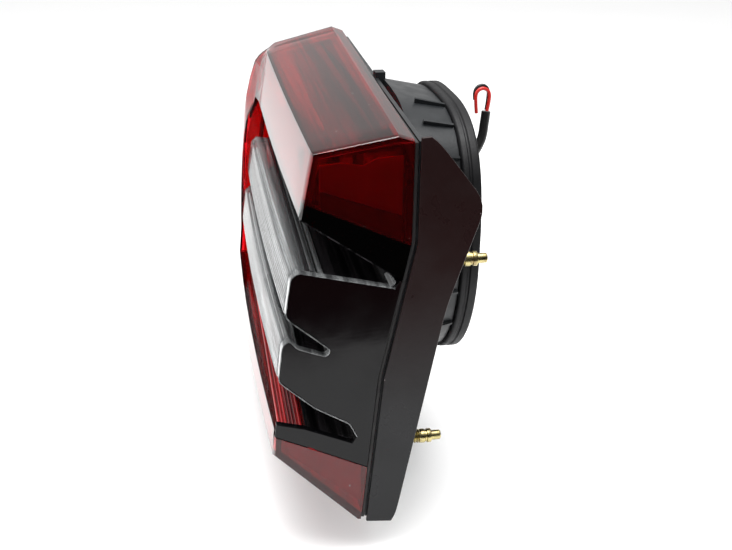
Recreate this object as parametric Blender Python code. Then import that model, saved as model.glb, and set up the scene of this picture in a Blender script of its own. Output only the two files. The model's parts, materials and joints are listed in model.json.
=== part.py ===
"""Rear lamp cluster for a light motorcycle or three-wheeler.

A raked, C-shaped red lens with two clear bars and a gloss black end cover closes the front.
A rear housing with a bulb chamber closes the back and goes through the vehicle's panel, with a
rubber gasket around it.  Two quarter-turn bulb holders twist out of the chamber's rear wall.

Frame: X runs along the lamp, from the closed end of the C at -X to its open end at +X.
Y runs from the lit front at -Y to the vehicle at +Y.  Z is up.  The origin is on the panel that
the gasket seats on, at the middle of the lamp's width and at the gasket's middle height.
"""

import math

import bmesh
import bpy
from mathutils import Matrix, Vector

MM = 0.001
GAP = 0.3 * MM  # clearance between pieces that touch
BEYOND = 10 * MM  # how far a cutting form reaches past what it cuts

# Overall size
WIDTH = 208 * MM  # along X
FRONT_TOP_Y = -71.2 * MM  # the lens's top front edge
TOP_Z = 57.4 * MM

# Bands of the front, each measured down the face from the one above
UPPER_ARM_HEIGHT = 23.7 * MM
UPPER_GAP_HEIGHT = 20.5 * MM
UPPER_BAR_HEIGHT = 19.7 * MM
GROOVE_HEIGHT = 7.1 * MM
LOWER_BAR_HEIGHT = 19.3 * MM
LOWER_GAP_HEIGHT = 16.4 * MM
LOWER_ARM_HEIGHT = 14.2 * MM
CHIN_HEIGHT = 34 * MM  # from the lower arm's front edge down to the bottom tip
CROWN_HEIGHT = 5.4 * MM  # how far the top rises from its front edge to its rear flange

# Front face
FRONT_RAKE = 0.13  # how far the face comes forward for each unit down
FRONT_BOW = 2.2 * MM  # bulge of the face between its top and its bottom
PLAN_BOW_TOP = 1.4 * MM  # bulge of the face between its two ends, at the top edge
PLAN_BOW_CHIN = 4.2 * MM  # the same at the lower arm
PLAN_BOW_CENTRE = -30 * MM  # where along X the face bulges most
SPINE_SWELL = 4.6 * MM  # how far the spine stands proud of the bars
SWELL_REACH = 97 * MM  # how far down from the top edge it does so
SWELL_ARM_START = 29 * MM  # along X, where the swell starts at the upper arm
SWELL_BAR_START = 49 * MM  # and at the bars, where it starts nearer
SWELL_LENGTH = 25 * MM

# Seam between the lens and the housing, seen from the side
SEAM_TOP_Y = -35.1 * MM
SEAM_UPPER_KNEE = 22 * MM  # above this height the seam is upright
SEAM_LOWER_KNEE = -32 * MM
SEAM_MIDDLE_RAKE = 0.206
SEAM_LOWER_RAKE = 0.092
SEAM_SWEEP = 0.0216  # how far the seam runs back for each unit towards the far end
CROWN_RISE = 3.2 * MM  # how much higher the crown is at the far end

# Lens
LENS_WALL = 2.5 * MM
SPINE_WIDTH = 22 * MM  # of the closed end of the C
ARM_DROP = 27.7 * MM  # fall of the upper arm's underside from the face to the seam
FLOOR_SLOPE = 0.33  # fall of the lower gap's floor towards the rear
FLANGE_DEPTH = 5.8 * MM  # of the lens's rear top edge
SEAL_THICKNESS = 1.4 * MM
SEAL_WIDTH = 3 * MM
SEAL_INSET = 1.1 * MM  # from the lens's ends and its bottom
SEAL_DROP = 3.2 * MM  # below the crown
CHIN_TIP = (1.5 * MM, 0.4 * MM)  # how far the blunt bottom tip is cut back, along Y and Z
CROWN_CORNER = 2 * MM  # of the rear flange below the crown
FAR_END_ROUNDING = ((0, 4.5 * MM), (0.7 * MM, 2.4 * MM), (2 * MM, 1 * MM), (4.5 * MM, 0))  # x, inset
NEAR_END_ROUNDING = (2 * MM, 0.8 * MM)

# Bars and what is between them
BAR_DEPTH = 5.5 * MM
BAR_CHAMFER = 2.5 * MM
END_COVER_THICKNESS = 3 * MM
END_COVER_LIP = 0.4 * MM  # how far its edge stays behind the bars' faces
END_COVER_HEAD = 2 * MM  # how far its top edge starts behind the upper gap's rear end
END_COVER_NOTCH = 1.9 * MM  # how far the lower gap's rear end leans forward at its foot
END_COVER_SILL = (11.5 * MM, 2.9 * MM)  # bend of its edge below the lower gap, from the arm's edge
END_COVER_NOSE = (0.6 * MM, 0.2 * MM, 5.4 * MM)  # its lip on the lower arm: top and foot setback, height
END_COVER_LOBE = (16 * MM, 7.4 * MM)  # bend of its bottom edge, behind and below the nose
END_COVER_FOOT = 17 * MM  # of its bottom rear corner below the nose
BEZEL_THICKNESS = 1.8 * MM
STRIP_THICKNESS = 2 * MM
STRIP_SETBACK = 1.2 * MM  # behind the lower arm's front edge
STRIP_SINK = 0.2 * MM  # below the lower gap's floor
UPPER_GAP_DEPTH = 35 * MM  # from the face to the narrow rear end of the gap
UPPER_GAP_END = 5.2 * MM  # height of that rear end
UPPER_STEP_DEPTH = 12.7 * MM  # of the ledge behind the upper bar
UPPER_STEP_DROP = 2.7 * MM  # of the ledge's rear edge below the bar's top
GROOVE_DEPTH = 17.5 * MM
GROOVE_DROP = 5.2 * MM  # of the groove's rear end below the lower bar's top
GROOVE_END = 2.8 * MM  # height of that rear end
GROOVE_FOOT = 1.9 * MM  # how far the rear end's foot is ahead of its top
LOWER_GAP_DEPTH = 30.5 * MM
LOWER_GAP_END = 2.6 * MM  # height of the lower gap's rear end
LOWER_GAP_BEND = (16.3 * MM, 10.2 * MM)  # its roof's upper bend: ahead of its end, below the bar
LOWER_GAP_ROOF = (2.8 * MM, 18.3 * MM)  # its roof's lower bend
POCKET_ROUNDING = 1.6 * MM  # at the corners of the end cover's edge
UPPER_BAR_DROPS = (1 * MM, 2 * MM)  # how far a bar's rear is below its front, at its top and its foot
LOWER_BAR_DROPS = (4 * MM, 3.9 * MM)
FLOOR_STRIP_DEPTH = 11 * MM  # of the red strip, from the lower arm's edge to the black floor
FACET_COLUMNS = 3  # of the reflex insert in the spine
FACET_BEVEL = 2.4 * MM
FACET_RELIEF = 1.6 * MM
INSERT_THICKNESS = 1 * MM
INSERT_AHEAD = 6 * MM  # how far it reaches ahead of the ledge's rear edge
INSERT_END_GAP = 4 * MM  # between it and the upper gap's rear end

# Reflectors
REFLECTOR_THICKNESS = 1.5 * MM
REFLECTOR_CLEARANCE = 1.2 * MM
REFLECTOR_ENDS = (3 * MM, 6 * MM)  # clear of the spine and of the end wall
REFLECTOR_ROOF_START = 10 * MM  # of the upper trough's roof, behind the lens's top edge
REFLECTOR_CROWN = 1.5 * MM  # how far its corner is behind and below the crown's
REFLECTOR_SHOULDER = 8 * MM  # of its rear wall below the lens's top edge
REFLECTOR_LIP = 9 * MM
REFLECTOR_FOOT = 6 * MM  # of the lower one above the lower gap's floor
BULB_HOLE_CLEARANCE = 3 * MM

# Housing
HOUSING_WALL = 2.5 * MM
HOUSING_FAR_INSET = 0.5 * MM
HOUSING_FOOT_INSET = 1 * MM
HOUSING_TOP_DROP = 3 * MM  # below the crown
PAN_DEPTH = 8 * MM
PAN_TOP_DEPTH = 1.6 * MM  # the pan's top slopes down to the rear, so it is thin at its top edge
PAN_TOP_FALL = 24 * MM
CHAMBER_DRAFT = 9 * MM  # how much wider the chamber is at the pan than at its rear wall
CHAMBER_INSET = 1.6 * MM  # how far its rear wall is inside the gasket's outline

# Gasket, which seats on the vehicle's panel at y = 0
GASKET_CENTRE_X = 17 * MM
GASKET_WIDTH = 116 * MM
GASKET_HEIGHT = 116 * MM
GASKET_THICKNESS = 7.7 * MM
GASKET_BAND = 9 * MM
GASKET_TOP_POWER = 3.0  # of the superellipse of its upper half: squarer
GASKET_FOOT_POWER = 2.05  # of its lower half: rounder
GASKET_POINTS = 48

# The free space inside the gasket's band, where the holders, grommet and breather are
INSIDE_FAR = GASKET_CENTRE_X - GASKET_WIDTH / 2 + GASKET_BAND
INSIDE_NEAR = GASKET_CENTRE_X + GASKET_WIDTH / 2 - GASKET_BAND
INSIDE_TOP = GASKET_HEIGHT / 2 - GASKET_BAND
INSIDE_FOOT = -INSIDE_TOP

# End skirt, the thin plate behind the lens at +X
SKIRT_THICKNESS = 1.5 * MM
SKIRT_FRONT_GAP = 2.4 * MM  # between the lens's rear edge and the plate
SKIRT_SHOULDER_DEPTH = 25 * MM  # of its widest place, near the top
SKIRT_SHOULDER_Z = 36 * MM
SKIRT_WAIST_DEPTH = 17.3 * MM  # halfway down
SKIRT_WAIST_Z = -4 * MM
SKIRT_FOOT_DEPTH = 12.3 * MM
SKIRT_ROUNDING = 7 * MM
SKIRT_TOP_DEPTH = 3.5 * MM
SKIRT_TOP_SLOPE = (4 * MM, 3 * MM)  # of its short slope from the top edge, along Y and down
SKIRT_TOP_DROP = 1.4 * MM  # below the crown
SKIRT_FOOT_DROP = 0.5 * MM  # below the lens's bottom
SKIRT_FOOT_CORNER = 3 * MM

# Locating tab on the pan's top edge
TAB_WIDTH = 6 * MM
TAB_HEIGHT = 2.5 * MM
TAB_THICKNESS = 4.5 * MM
TAB_ROOT = 4 * MM  # inside the pan
TAB_X = -3 * MM

# Studs
STUD_DIAMETER = 5.8 * MM
STUD_TIP_DIAMETER = 4 * MM
STUD_TIP_LENGTH = 4 * MM
STUD_REACH = 21.5 * MM  # from its boss to the stud's end
STUD_BITE = 7 * MM  # inside its boss
STUD_WAIST = 0.86  # of the shank's radius, at the ring groove before the tip
STUD_INSET = 15 * MM  # from the lamp's ends
STUD_SEATS = ((9 * MM, 4 * MM), (-69 * MM, 0.9 * MM))  # height, and how proud the boss is there
BOSS_WALL = 2.6 * MM
BOSS_FLOOR = 1.5 * MM

# Screws that hold the reflectors
SCREW_DIAMETER = 3 * MM
SCREW_HEAD_DIAMETER = 6 * MM
SCREW_HEAD_HEIGHT = 1.8 * MM
SCREW_BITE = 6 * MM
SCREW_POINT = 1 * MM
SCREW_FAR_INSET = 34 * MM
SCREW_NEAR_INSET = 16 * MM
SCREW_DROP = 14 * MM  # below the lamp's top edge or the lower bar's top
SCREW_TILT_ROOM = 0.7 * MM  # under a flat head or pillar end, because the reflector leans

# Bulb holders: (name, x, z, bulb diameter, bulb length in front of the socket)
HOLDERS = (
    ("stop", INSIDE_FAR + 29 * MM, INSIDE_TOP - 22 * MM, 20 * MM, 31 * MM),
    ("turn", INSIDE_NEAR - 26 * MM, INSIDE_FOOT + 41 * MM, 15.5 * MM, 24 * MM),
)
HOLDER_WALL = 3.4 * MM  # of the socket around the bulb
HOLDER_TABS = 3
HOLDER_TAB_WIDTH = 6 * MM
HOLDER_SLOT_WIDTH = 6.8 * MM
HOLDER_FLANGE = 3 * MM  # how far the flange overlaps the hole's edge
HOLDER_FLANGE_THICKNESS = 2.4 * MM
HOLDER_GRIP_LENGTH = 9 * MM
HOLDER_GRIP_WIDTH = 5 * MM
HOLDER_SOCKET_DEPTH = 9 * MM
HOLDER_GRIP_INSET = 3 * MM  # of the grip's ends from the flange's edge
SOCKET_FLOOR_SINK = 1 * MM  # of the socket's floor behind the chamber wall's inside
SOCKET_BORE_INSET = 2 * MM  # of its bore from the bulb's outside
LUG_THICKNESS = 2.2 * MM
WEDGE_CLEARANCE = 1 * MM  # between the bulb's wedge and the socket's floor
HOLDER_SEAL_THICKNESS = 1.6 * MM
TAB_REACH = 2.6 * MM
HOLDER_TWIST = math.radians(45)
CONTACT_THICKNESS = 0.6 * MM
CONTACT_WIDTH = 3.5 * MM

# Pigtail
GROMMET_X = HOLDERS[0][1] + 26 * MM
GROMMET_Z = HOLDERS[0][2]
GROMMET_DIAMETER = 9 * MM
GROMMET_LIP = 1.6 * MM
GROMMET_HEAD = 3 * MM  # behind the chamber's rear wall
GROMMET_BARB = 2 * MM  # inside it
SLEEVE_DIAMETER = 4 * MM
WIRE_DIAMETER = 1.5 * MM
# Routes of the sleeve and the two cores, as x and z from the grommet's axis and y
SLEEVE_ROUTE = (
    (0.0000, -0.0040, 0.0000),
    (0.0000, 0.0025, 0.0002),
    (-0.0005, 0.0090, 0.0030),
    (-0.0015, 0.0130, 0.0095),
    (-0.0024, 0.0143, 0.0170),
    (-0.0027, 0.0148, 0.0218),
)
RED_ROUTE = (
    (-0.0019, 0.0150, 0.0222),
    (-0.0018, 0.0155, 0.0258),
    (-0.0017, 0.0156, 0.0290),
    (-0.0017, 0.0147, 0.0311),
    (-0.0017, 0.0126, 0.0320),
    (-0.0017, 0.0105, 0.0311),
    (-0.0017, 0.0096, 0.0290),
    (-0.0018, 0.0098, 0.0253),
    (-0.0019, 0.0103, 0.0213),
)
BLACK_ROUTE = (
    (-0.0036, 0.0150, 0.0222),
    (-0.0037, 0.0155, 0.0263),
    (-0.0038, 0.0156, 0.0299),
    (-0.0038, 0.0147, 0.0320),
    (-0.0038, 0.0126, 0.0329),
    (-0.0038, 0.0105, 0.0320),
    (-0.0038, 0.0096, 0.0299),
    (-0.0037, 0.0097, 0.0268),
)

BREATHER_X = INSIDE_FAR + 24 * MM
BREATHER_Z = INSIDE_FOOT + 25 * MM
BREATHER_DIAMETER = 8 * MM
BREATHER_LIP = 1.5 * MM
BREATHER_HEIGHT = 3.6 * MM  # behind the chamber's rear wall

SIDES = 32  # of round pieces

# Heights that follow from the bands
NEAR_X = WIDTH / 2
FAR_X = -WIDTH / 2
ARM_Z = TOP_Z - UPPER_ARM_HEIGHT
UPPER_BAR_TOP = ARM_Z - UPPER_GAP_HEIGHT
UPPER_BAR_BOTTOM = UPPER_BAR_TOP - UPPER_BAR_HEIGHT
LOWER_BAR_TOP = UPPER_BAR_BOTTOM - GROOVE_HEIGHT
LOWER_BAR_BOTTOM = LOWER_BAR_TOP - LOWER_BAR_HEIGHT
FLOOR_Z = LOWER_BAR_BOTTOM - LOWER_GAP_HEIGHT
CHIN_Z = FLOOR_Z - LOWER_ARM_HEIGHT
BOTTOM_Z = CHIN_Z - CHIN_HEIGHT
CROWN_Z = TOP_Z + CROWN_HEIGHT
FACE_HEIGHT = TOP_Z - CHIN_Z
SPINE_X = FAR_X + SPINE_WIDTH
WALL_Y = -GASKET_THICKNESS - GAP  # rear face of the chamber's rear wall


# Materials ----------------------------------------------------------------------------------

def material(name, colour, roughness, metallic=0.0, transmission=0.0):
    """A Principled material."""
    made = bpy.data.materials.new(name)
    made.use_nodes = True
    shader = made.node_tree.nodes["Principled BSDF"]
    shader.inputs["Base Color"].default_value = (*colour, 1)
    shader.inputs["Roughness"].default_value = roughness
    shader.inputs["Metallic"].default_value = metallic
    shader.inputs["Transmission Weight"].default_value = transmission
    return made


# Meshes -------------------------------------------------------------------------------------

def make_object(name, mesh_data, place=(0, 0, 0)):
    """Turns a bmesh into a named object with its faces pointing out."""
    bmesh.ops.recalc_face_normals(mesh_data, faces=mesh_data.faces)
    mesh = bpy.data.meshes.new(name)
    mesh_data.to_mesh(mesh)
    mesh_data.free()
    made = bpy.data.objects.new(name, mesh)
    made.location = place
    bpy.context.scene.collection.objects.link(made)
    return made


def loft(name, sections, place=(0, 0, 0)):
    """A closed solid through rings of points, with flat ends."""
    mesh_data = bmesh.new()
    rings = [[mesh_data.verts.new(point) for point in ring] for ring in sections]
    count = len(rings[0])
    for lower, upper in zip(rings, rings[1:]):
        for i in range(count):
            j = (i + 1) % count
            mesh_data.faces.new((lower[i], lower[j], upper[j], upper[i]))
    mesh_data.faces.new(rings[0])
    mesh_data.faces.new(rings[-1])
    return make_object(name, mesh_data, place)


def side_prism(name, outline, x_from, x_to):
    """A solid with an outline of (y, z) points, extruded along X."""
    sections = [[(x, y, z) for y, z in outline] for x in (x_from, x_to)]
    return loft(name, sections)


def turned(name, profile, place, sides=SIDES):
    """A solid turned about Y from a chain of (radius, y) points that starts and ends on the axis."""
    mesh_data = bmesh.new()
    rings = []
    for radius, y in profile:
        if radius == 0:
            rings.append([mesh_data.verts.new((0, y, 0))])
            continue
        angles = [math.tau * i / sides for i in range(sides)]
        rings.append([mesh_data.verts.new((radius * math.cos(a), y, radius * math.sin(a))) for a in angles])
    for first, second in zip(rings, rings[1:]):
        for i in range(sides):
            j = (i + 1) % sides
            if len(first) == 1:
                mesh_data.faces.new((first[0], second[i], second[j]))
            elif len(second) == 1:
                mesh_data.faces.new((first[i], first[j], second[0]))
            else:
                mesh_data.faces.new((first[i], first[j], second[j], second[i]))
    made = make_object(name, mesh_data, place)
    made.data.shade_smooth()
    made.data.set_sharp_from_angle(angle=math.radians(35))
    return made


def rod(name, radius, y_from, y_to, x, z, sides=SIDES):
    """A plain cylinder along Y."""
    return turned(name, [(0, y_from), (radius, y_from), (radius, y_to), (0, y_to)], (x, 0, z), sides)


def block(name, low, high, place=(0, 0, 0)):
    """A box between two corners."""
    rings = []
    for z in (low[2], high[2]):
        rings.append([(low[0], low[1], z), (high[0], low[1], z), (high[0], high[1], z), (low[0], high[1], z)])
    return loft(name, rings, place)


def combine(target, tool, operation):
    """Cuts, joins or intersects target with tool, and removes tool."""
    modifier = target.modifiers.new("shape", "BOOLEAN")
    modifier.operation = operation
    modifier.solver = "EXACT"
    modifier.object = tool
    bpy.context.view_layer.update()
    evaluated = target.evaluated_get(bpy.context.evaluated_depsgraph_get())
    mesh = bpy.data.meshes.new_from_object(evaluated)
    target.modifiers.clear()
    target.data = mesh
    bpy.data.objects.remove(tool)
    return target


def cut(target, *tools):
    for tool in tools:
        combine(target, tool, "DIFFERENCE")
    return target


def join(target, *tools):
    for tool in tools:
        combine(target, tool, "UNION")
    return target


def finish(target, look):
    """Gives a piece its only material."""
    target.data.materials.clear()
    target.data.materials.append(look)
    return target


# Outlines -----------------------------------------------------------------------------------

def offset(outline, distance):
    """Moves each side of a closed outline outwards by distance, or inwards if it is negative."""
    area = sum(a[0] * b[1] - b[0] * a[1] for a, b in zip(outline, outline[1:] + outline[:1]))
    turn = 1 if area > 0 else -1
    moved = []
    for i, (u, v) in enumerate(outline):
        before = Vector(outline[i]) - Vector(outline[i - 1])
        after = Vector(outline[(i + 1) % len(outline)]) - Vector(outline[i])
        first = Vector((before.y, -before.x)).normalized() * turn
        second = Vector((after.y, -after.x)).normalized() * turn
        corner = (first + second) / (1 + first.dot(second))
        moved.append((u + corner.x * distance, v + corner.y * distance))
    return moved


def softened(line, reach, steps=4):
    """A line whose inner corners are rounded over reach to each side of them."""
    made = [line[0]]
    for before, corner, after in zip(line, line[1:], line[2:]):
        here = Vector(corner)
        ahead = Vector(after) - here
        back = Vector(before) - here
        start = here + back.normalized() * min(reach, back.length * 0.45)
        end = here + ahead.normalized() * min(reach, ahead.length * 0.45)
        for i in range(steps + 1):
            t = i / steps
            point = start * (1 - t) ** 2 + here * 2 * t * (1 - t) + end * t ** 2
            made.append(tuple(point))
    return made + [line[-1]]


def ribbon(line, thickness):
    """The outline of a sheet that follows a line of (y, z) points, thickened on its rear side."""
    rear = []
    for i, point in enumerate(line):
        here = Vector(point)
        before = (here - Vector(line[i - 1])).normalized() if i else None
        after = (Vector(line[i + 1]) - here).normalized() if i < len(line) - 1 else None
        before = before or after
        after = after or before
        first = Vector((-before.y, before.x))
        second = Vector((-after.y, after.x))
        corner = (first + second) / (1 + first.dot(second))
        rear.append(tuple(here + corner * thickness))
    return list(line) + rear[::-1]


def smoothstep(t):
    t = min(max(t, 0), 1)
    return t * t * (3 - 2 * t)


def front_y(z, x=NEAR_X):
    """The front face of the lamp, which is raked and bows both ways."""
    down = (TOP_Z - z) / FACE_HEIGHT
    reach = NEAR_X - PLAN_BOW_CENTRE
    across = 1 - ((x - PLAN_BOW_CENTRE) / reach) ** 2
    plan_bow = PLAN_BOW_TOP + (PLAN_BOW_CHIN - PLAN_BOW_TOP) * down
    return FRONT_TOP_Y - FRONT_RAKE * (TOP_Z - z) - 4 * FRONT_BOW * down * (1 - down) - plan_bow * across


def lens_front_y(z, x):
    """The lens's own front, which swells forward at the spine."""
    down = min(max((TOP_Z - z) / SWELL_REACH, 0), 1)
    lower = smoothstep((ARM_Z - z) / (ARM_Z - UPPER_BAR_TOP))
    start = FAR_X + SWELL_ARM_START + (SWELL_BAR_START - SWELL_ARM_START) * lower
    along = smoothstep((start - x) / SWELL_LENGTH)
    return front_y(z, x) - SPINE_SWELL * math.sin(math.pi * down ** 0.6) * along


def seam_y(z, x=NEAR_X):
    """The seam between the lens and the housing."""
    middle = min(max(SEAM_UPPER_KNEE - z, 0), SEAM_UPPER_KNEE - SEAM_LOWER_KNEE)
    lower = max(SEAM_LOWER_KNEE - z, 0)
    return SEAM_TOP_Y - SEAM_MIDDLE_RAKE * middle - SEAM_LOWER_RAKE * lower + sweep(x)


def sweep(x):
    """How far the seam runs back at x."""
    return SEAM_SWEEP * (NEAR_X - x)


def seam_heights(z_from, z_to):
    """Heights at which a line along the seam needs a point."""
    knees = [z for z in (SEAM_UPPER_KNEE, SEAM_LOWER_KNEE) if min(z_from, z_to) < z < max(z_from, z_to)]
    return [z_from] + sorted(knees, reverse=z_from > z_to) + [z_to]


def seam_slab(y_from, y_to, z_low, z_high):
    """An outline between two lines that run along the seam, y_from and y_to behind it."""
    heights = seam_heights(z_low, z_high)
    front = [(seam_y(z) + y_from, z) for z in heights]
    rear = [(seam_y(z) + y_to, z) for z in reversed(heights)]
    return front + rear


def swept_prism(name, outline, x_from, x_to):
    """An outline extruded along X that follows the seam's sweep."""
    return loft(name, [[(x, y + sweep(x), z) for y, z in outline] for x in (x_from, x_to)])


def arm_slope():
    """How steeply the upper arm's underside falls towards the rear."""
    return ARM_DROP / (SEAM_TOP_Y - front_y(ARM_Z))


def arm_z(y):
    """The upper arm's underside, as the upper gap sees it."""
    return ARM_Z - arm_slope() * (y - front_y(ARM_Z))


def arm_end_y():
    """Where the upper arm's underside meets the seam."""
    y = SEAM_TOP_Y
    for _ in range(12):
        y = seam_y(arm_z(y))
    return y


def floor_z(y):
    """The lower gap's floor."""
    return FLOOR_Z - FLOOR_SLOPE * (y - front_y(FLOOR_Z))


def lens_outline(x, inset, behind=0.0):
    """The lens's outline at x, with its rear edge moved behind the seam."""
    steps = 14
    rise = CROWN_RISE * (NEAR_X - x) / WIDTH
    front = [TOP_Z - FACE_HEIGHT * i / steps for i in range(steps + 1)]
    points = [(lens_front_y(z, x), z) for z in front]
    points.append((seam_y(BOTTOM_Z, x) - CHIN_TIP[0], BOTTOM_Z + CHIN_TIP[1]))
    seam = [(seam_y(z, x), z) for z in seam_heights(BOTTOM_Z, CROWN_Z - CROWN_CORNER)]
    seam[-1] = (seam[-1][0], seam[-1][1] + rise)
    start = len(points)
    points += seam
    points.append((seam_y(TOP_Z, x) - FLANGE_DEPTH, CROWN_Z + rise))
    moved = offset(points, -inset)
    for i in range(start, start + len(seam)):
        z = moved[i][1]
        moved[i] = (seam_y(z, x) + behind, z)
    return moved


def lens_solid(name, wall, behind):
    """The lens's outer form, or its hollow if wall isn't zero."""
    near = NEAR_X - wall
    far = FAR_X + wall
    stations = [(far + along, inset) for along, inset in FAR_END_ROUNDING]
    start = stations[-1][0]
    end = near - NEAR_END_ROUNDING[0]
    steps = 14
    stations += [(start + (end - start) * i / steps, 0) for i in range(1, steps + 1)]
    stations.append((near, NEAR_END_ROUNDING[1]))
    sections = []
    for x, inset in stations:
        sections.append([(x, y, z) for y, z in lens_outline(x, inset + wall, behind)])
    return loft(name, sections)


def window_outline():
    """The opening of the C, between the upper arm's underside and the lower gap's floor."""
    ahead = front_y(CHIN_Z) - 4 * BEYOND
    behind = SEAM_TOP_Y + BEYOND
    floor_drop = STRIP_THICKNESS + GAP
    return [
        (ahead, ARM_Z),
        (front_y(ARM_Z), ARM_Z),
        (behind, arm_z(behind)),
        (behind, floor_z(behind) - floor_drop),
        (front_y(FLOOR_Z), FLOOR_Z - floor_drop),
        (ahead, FLOOR_Z - floor_drop),
    ]


def ridges(upper_bar, lower_bar):
    """The surfaces around the two bars, from the upper gap down to the lower gap's rear end."""
    step_y = front_y(UPPER_BAR_TOP) + UPPER_STEP_DEPTH
    gap_end = front_y(ARM_Z) + UPPER_GAP_DEPTH
    groove_y = front_y(UPPER_BAR_BOTTOM) + GROOVE_DEPTH
    low_y = front_y(LOWER_BAR_BOTTOM) + LOWER_GAP_DEPTH
    return [
        (gap_end, arm_z(gap_end) - UPPER_GAP_END),
        (step_y, UPPER_BAR_TOP - UPPER_STEP_DROP),
        *upper_bar,
        (groove_y, LOWER_BAR_TOP - GROOVE_DROP),
        (groove_y - GROOVE_FOOT, LOWER_BAR_TOP - GROOVE_DROP - GROOVE_END),
        *lower_bar,
        (low_y - LOWER_GAP_BEND[0], LOWER_BAR_BOTTOM - LOWER_GAP_BEND[1]),
        (low_y - LOWER_GAP_ROOF[0], LOWER_BAR_BOTTOM - LOWER_GAP_ROOF[1]),
        (low_y, floor_z(low_y) + LOWER_GAP_END),
    ]


def ridge_line():
    """The black surfaces behind and between the bars."""
    setback = BAR_DEPTH + GAP
    upper_bar = [
        (front_y(UPPER_BAR_TOP) + setback, UPPER_BAR_TOP - UPPER_BAR_DROPS[0]),
        (front_y(UPPER_BAR_BOTTOM) + setback, UPPER_BAR_BOTTOM - UPPER_BAR_DROPS[1]),
    ]
    lower_bar = [
        (front_y(LOWER_BAR_TOP) + setback, LOWER_BAR_TOP - LOWER_BAR_DROPS[0]),
        (front_y(LOWER_BAR_BOTTOM) + setback, LOWER_BAR_BOTTOM - LOWER_BAR_DROPS[1]),
    ]
    return ridges(upper_bar, lower_bar)


def strip_rear():
    """Where the red strip ends and the bezel's floor begins."""
    return front_y(FLOOR_Z) + FLOOR_STRIP_DEPTH


def bar_face(z_top, z_bottom, back_drop):
    """A bar's end as the end cover draws it: chamfered above and rounded below."""
    return [
        (front_y(z_top) + BAR_DEPTH, z_top - back_drop),
        (front_y(z_top) + BAR_CHAMFER, z_top - END_COVER_LIP),
        (front_y(z_top - BAR_CHAMFER) + END_COVER_LIP, z_top - BAR_CHAMFER),
        (front_y(z_bottom + BAR_CHAMFER) + END_COVER_LIP, z_bottom + BAR_CHAMFER),
        (front_y(z_bottom) + BAR_CHAMFER, z_bottom + END_COVER_LIP),
    ]


def end_cover_outline():
    """The gloss black end wall, whose front edge follows the bars, grooves and gaps."""
    line = ridges(
        bar_face(UPPER_BAR_TOP, UPPER_BAR_BOTTOM, UPPER_BAR_DROPS[0]),
        bar_face(LOWER_BAR_TOP, LOWER_BAR_BOTTOM, LOWER_BAR_DROPS[0]),
    )
    top_y = line[0][0]
    low_y = line[-1][0]
    head_y = top_y + END_COVER_HEAD
    edge_y = front_y(FLOOR_Z)
    nose_top, nose_foot, nose_height = END_COVER_NOSE
    nose_z = FLOOR_Z - nose_height
    foot_z = nose_z - END_COVER_FOOT
    corner_y = arm_end_y()
    return [
        (corner_y, arm_z(corner_y) - GAP * 2),
        (head_y, arm_z(head_y) - GAP * 2),
        *softened(line, POCKET_ROUNDING),
        (low_y - END_COVER_NOTCH, floor_z(low_y) - GAP),
        (edge_y + END_COVER_SILL[0], FLOOR_Z - END_COVER_SILL[1]),
        (edge_y + nose_top, FLOOR_Z),
        (front_y(nose_z) + nose_foot, nose_z),
        (edge_y + END_COVER_LOBE[0], nose_z - END_COVER_LOBE[1]),
        (seam_y(foot_z), foot_z),
        (seam_y(SEAM_LOWER_KNEE), SEAM_LOWER_KNEE),
    ]


def gasket_outline(inset=0.0):
    """The gasket's outer edge, as (x, z) points: squarer above and rounder below."""
    points = []
    for i in range(GASKET_POINTS):
        angle = math.tau * i / GASKET_POINTS
        power = 2 / (GASKET_TOP_POWER if math.sin(angle) >= 0 else GASKET_FOOT_POWER)
        x = math.copysign(abs(math.cos(angle)) ** power, math.cos(angle))
        z = math.copysign(abs(math.sin(angle)) ** power, math.sin(angle))
        points.append((GASKET_CENTRE_X + x * (GASKET_WIDTH / 2 - inset), z * (GASKET_HEIGHT / 2 - inset)))
    return points


def chamber_ring(y, outwards):
    """One section of the chamber, parallel to the gasket's outline."""
    return [(x, y, z) for x, z in gasket_outline(-outwards)]


# Front pieces -------------------------------------------------------------------------------

def make_lens(look):
    """The red C: two arms and a spine, open to the rear."""
    lens = lens_solid("outer_lens", 0.0, 0.0)
    window = window_outline()
    cut(lens, side_prism("window", window, SPINE_X, NEAR_X + BEYOND))
    hollow = lens_solid("hollow", LENS_WALL, BEYOND)
    cut(hollow, side_prism("window_wall", offset(window, LENS_WALL), SPINE_X - LENS_WALL, NEAR_X + BEYOND))
    cut(lens, hollow)
    cover = offset(end_cover_outline(), GAP)
    cut(lens, side_prism("cover_seat", cover, NEAR_X - END_COVER_THICKNESS - GAP, NEAR_X + BEYOND))
    return finish(lens, look)


def make_end_cover(look):
    """The gloss black wall at the open end of the C."""
    cover = side_prism("end_cover", end_cover_outline(), NEAR_X - END_COVER_THICKNESS, NEAR_X)
    return finish(cover, look)


def make_bezel(look):
    """The black sheet that the bars stand on and that lines the gaps."""
    line = ridge_line()
    top_y = line[0][0]
    low_y = line[-1][0]
    floor = [(y, floor_z(y) - GAP) for y in (low_y - 1 * MM, strip_rear() + 4 * GAP)]
    line = [(top_y, arm_z(top_y + BEZEL_THICKNESS) - GAP)] + line + floor
    bezel = side_prism(
        "inner_bezel",
        ribbon(line, BEZEL_THICKNESS),
        SPINE_X + GAP,
        NEAR_X - END_COVER_THICKNESS - GAP,
    )
    return finish(bezel, look)


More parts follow.
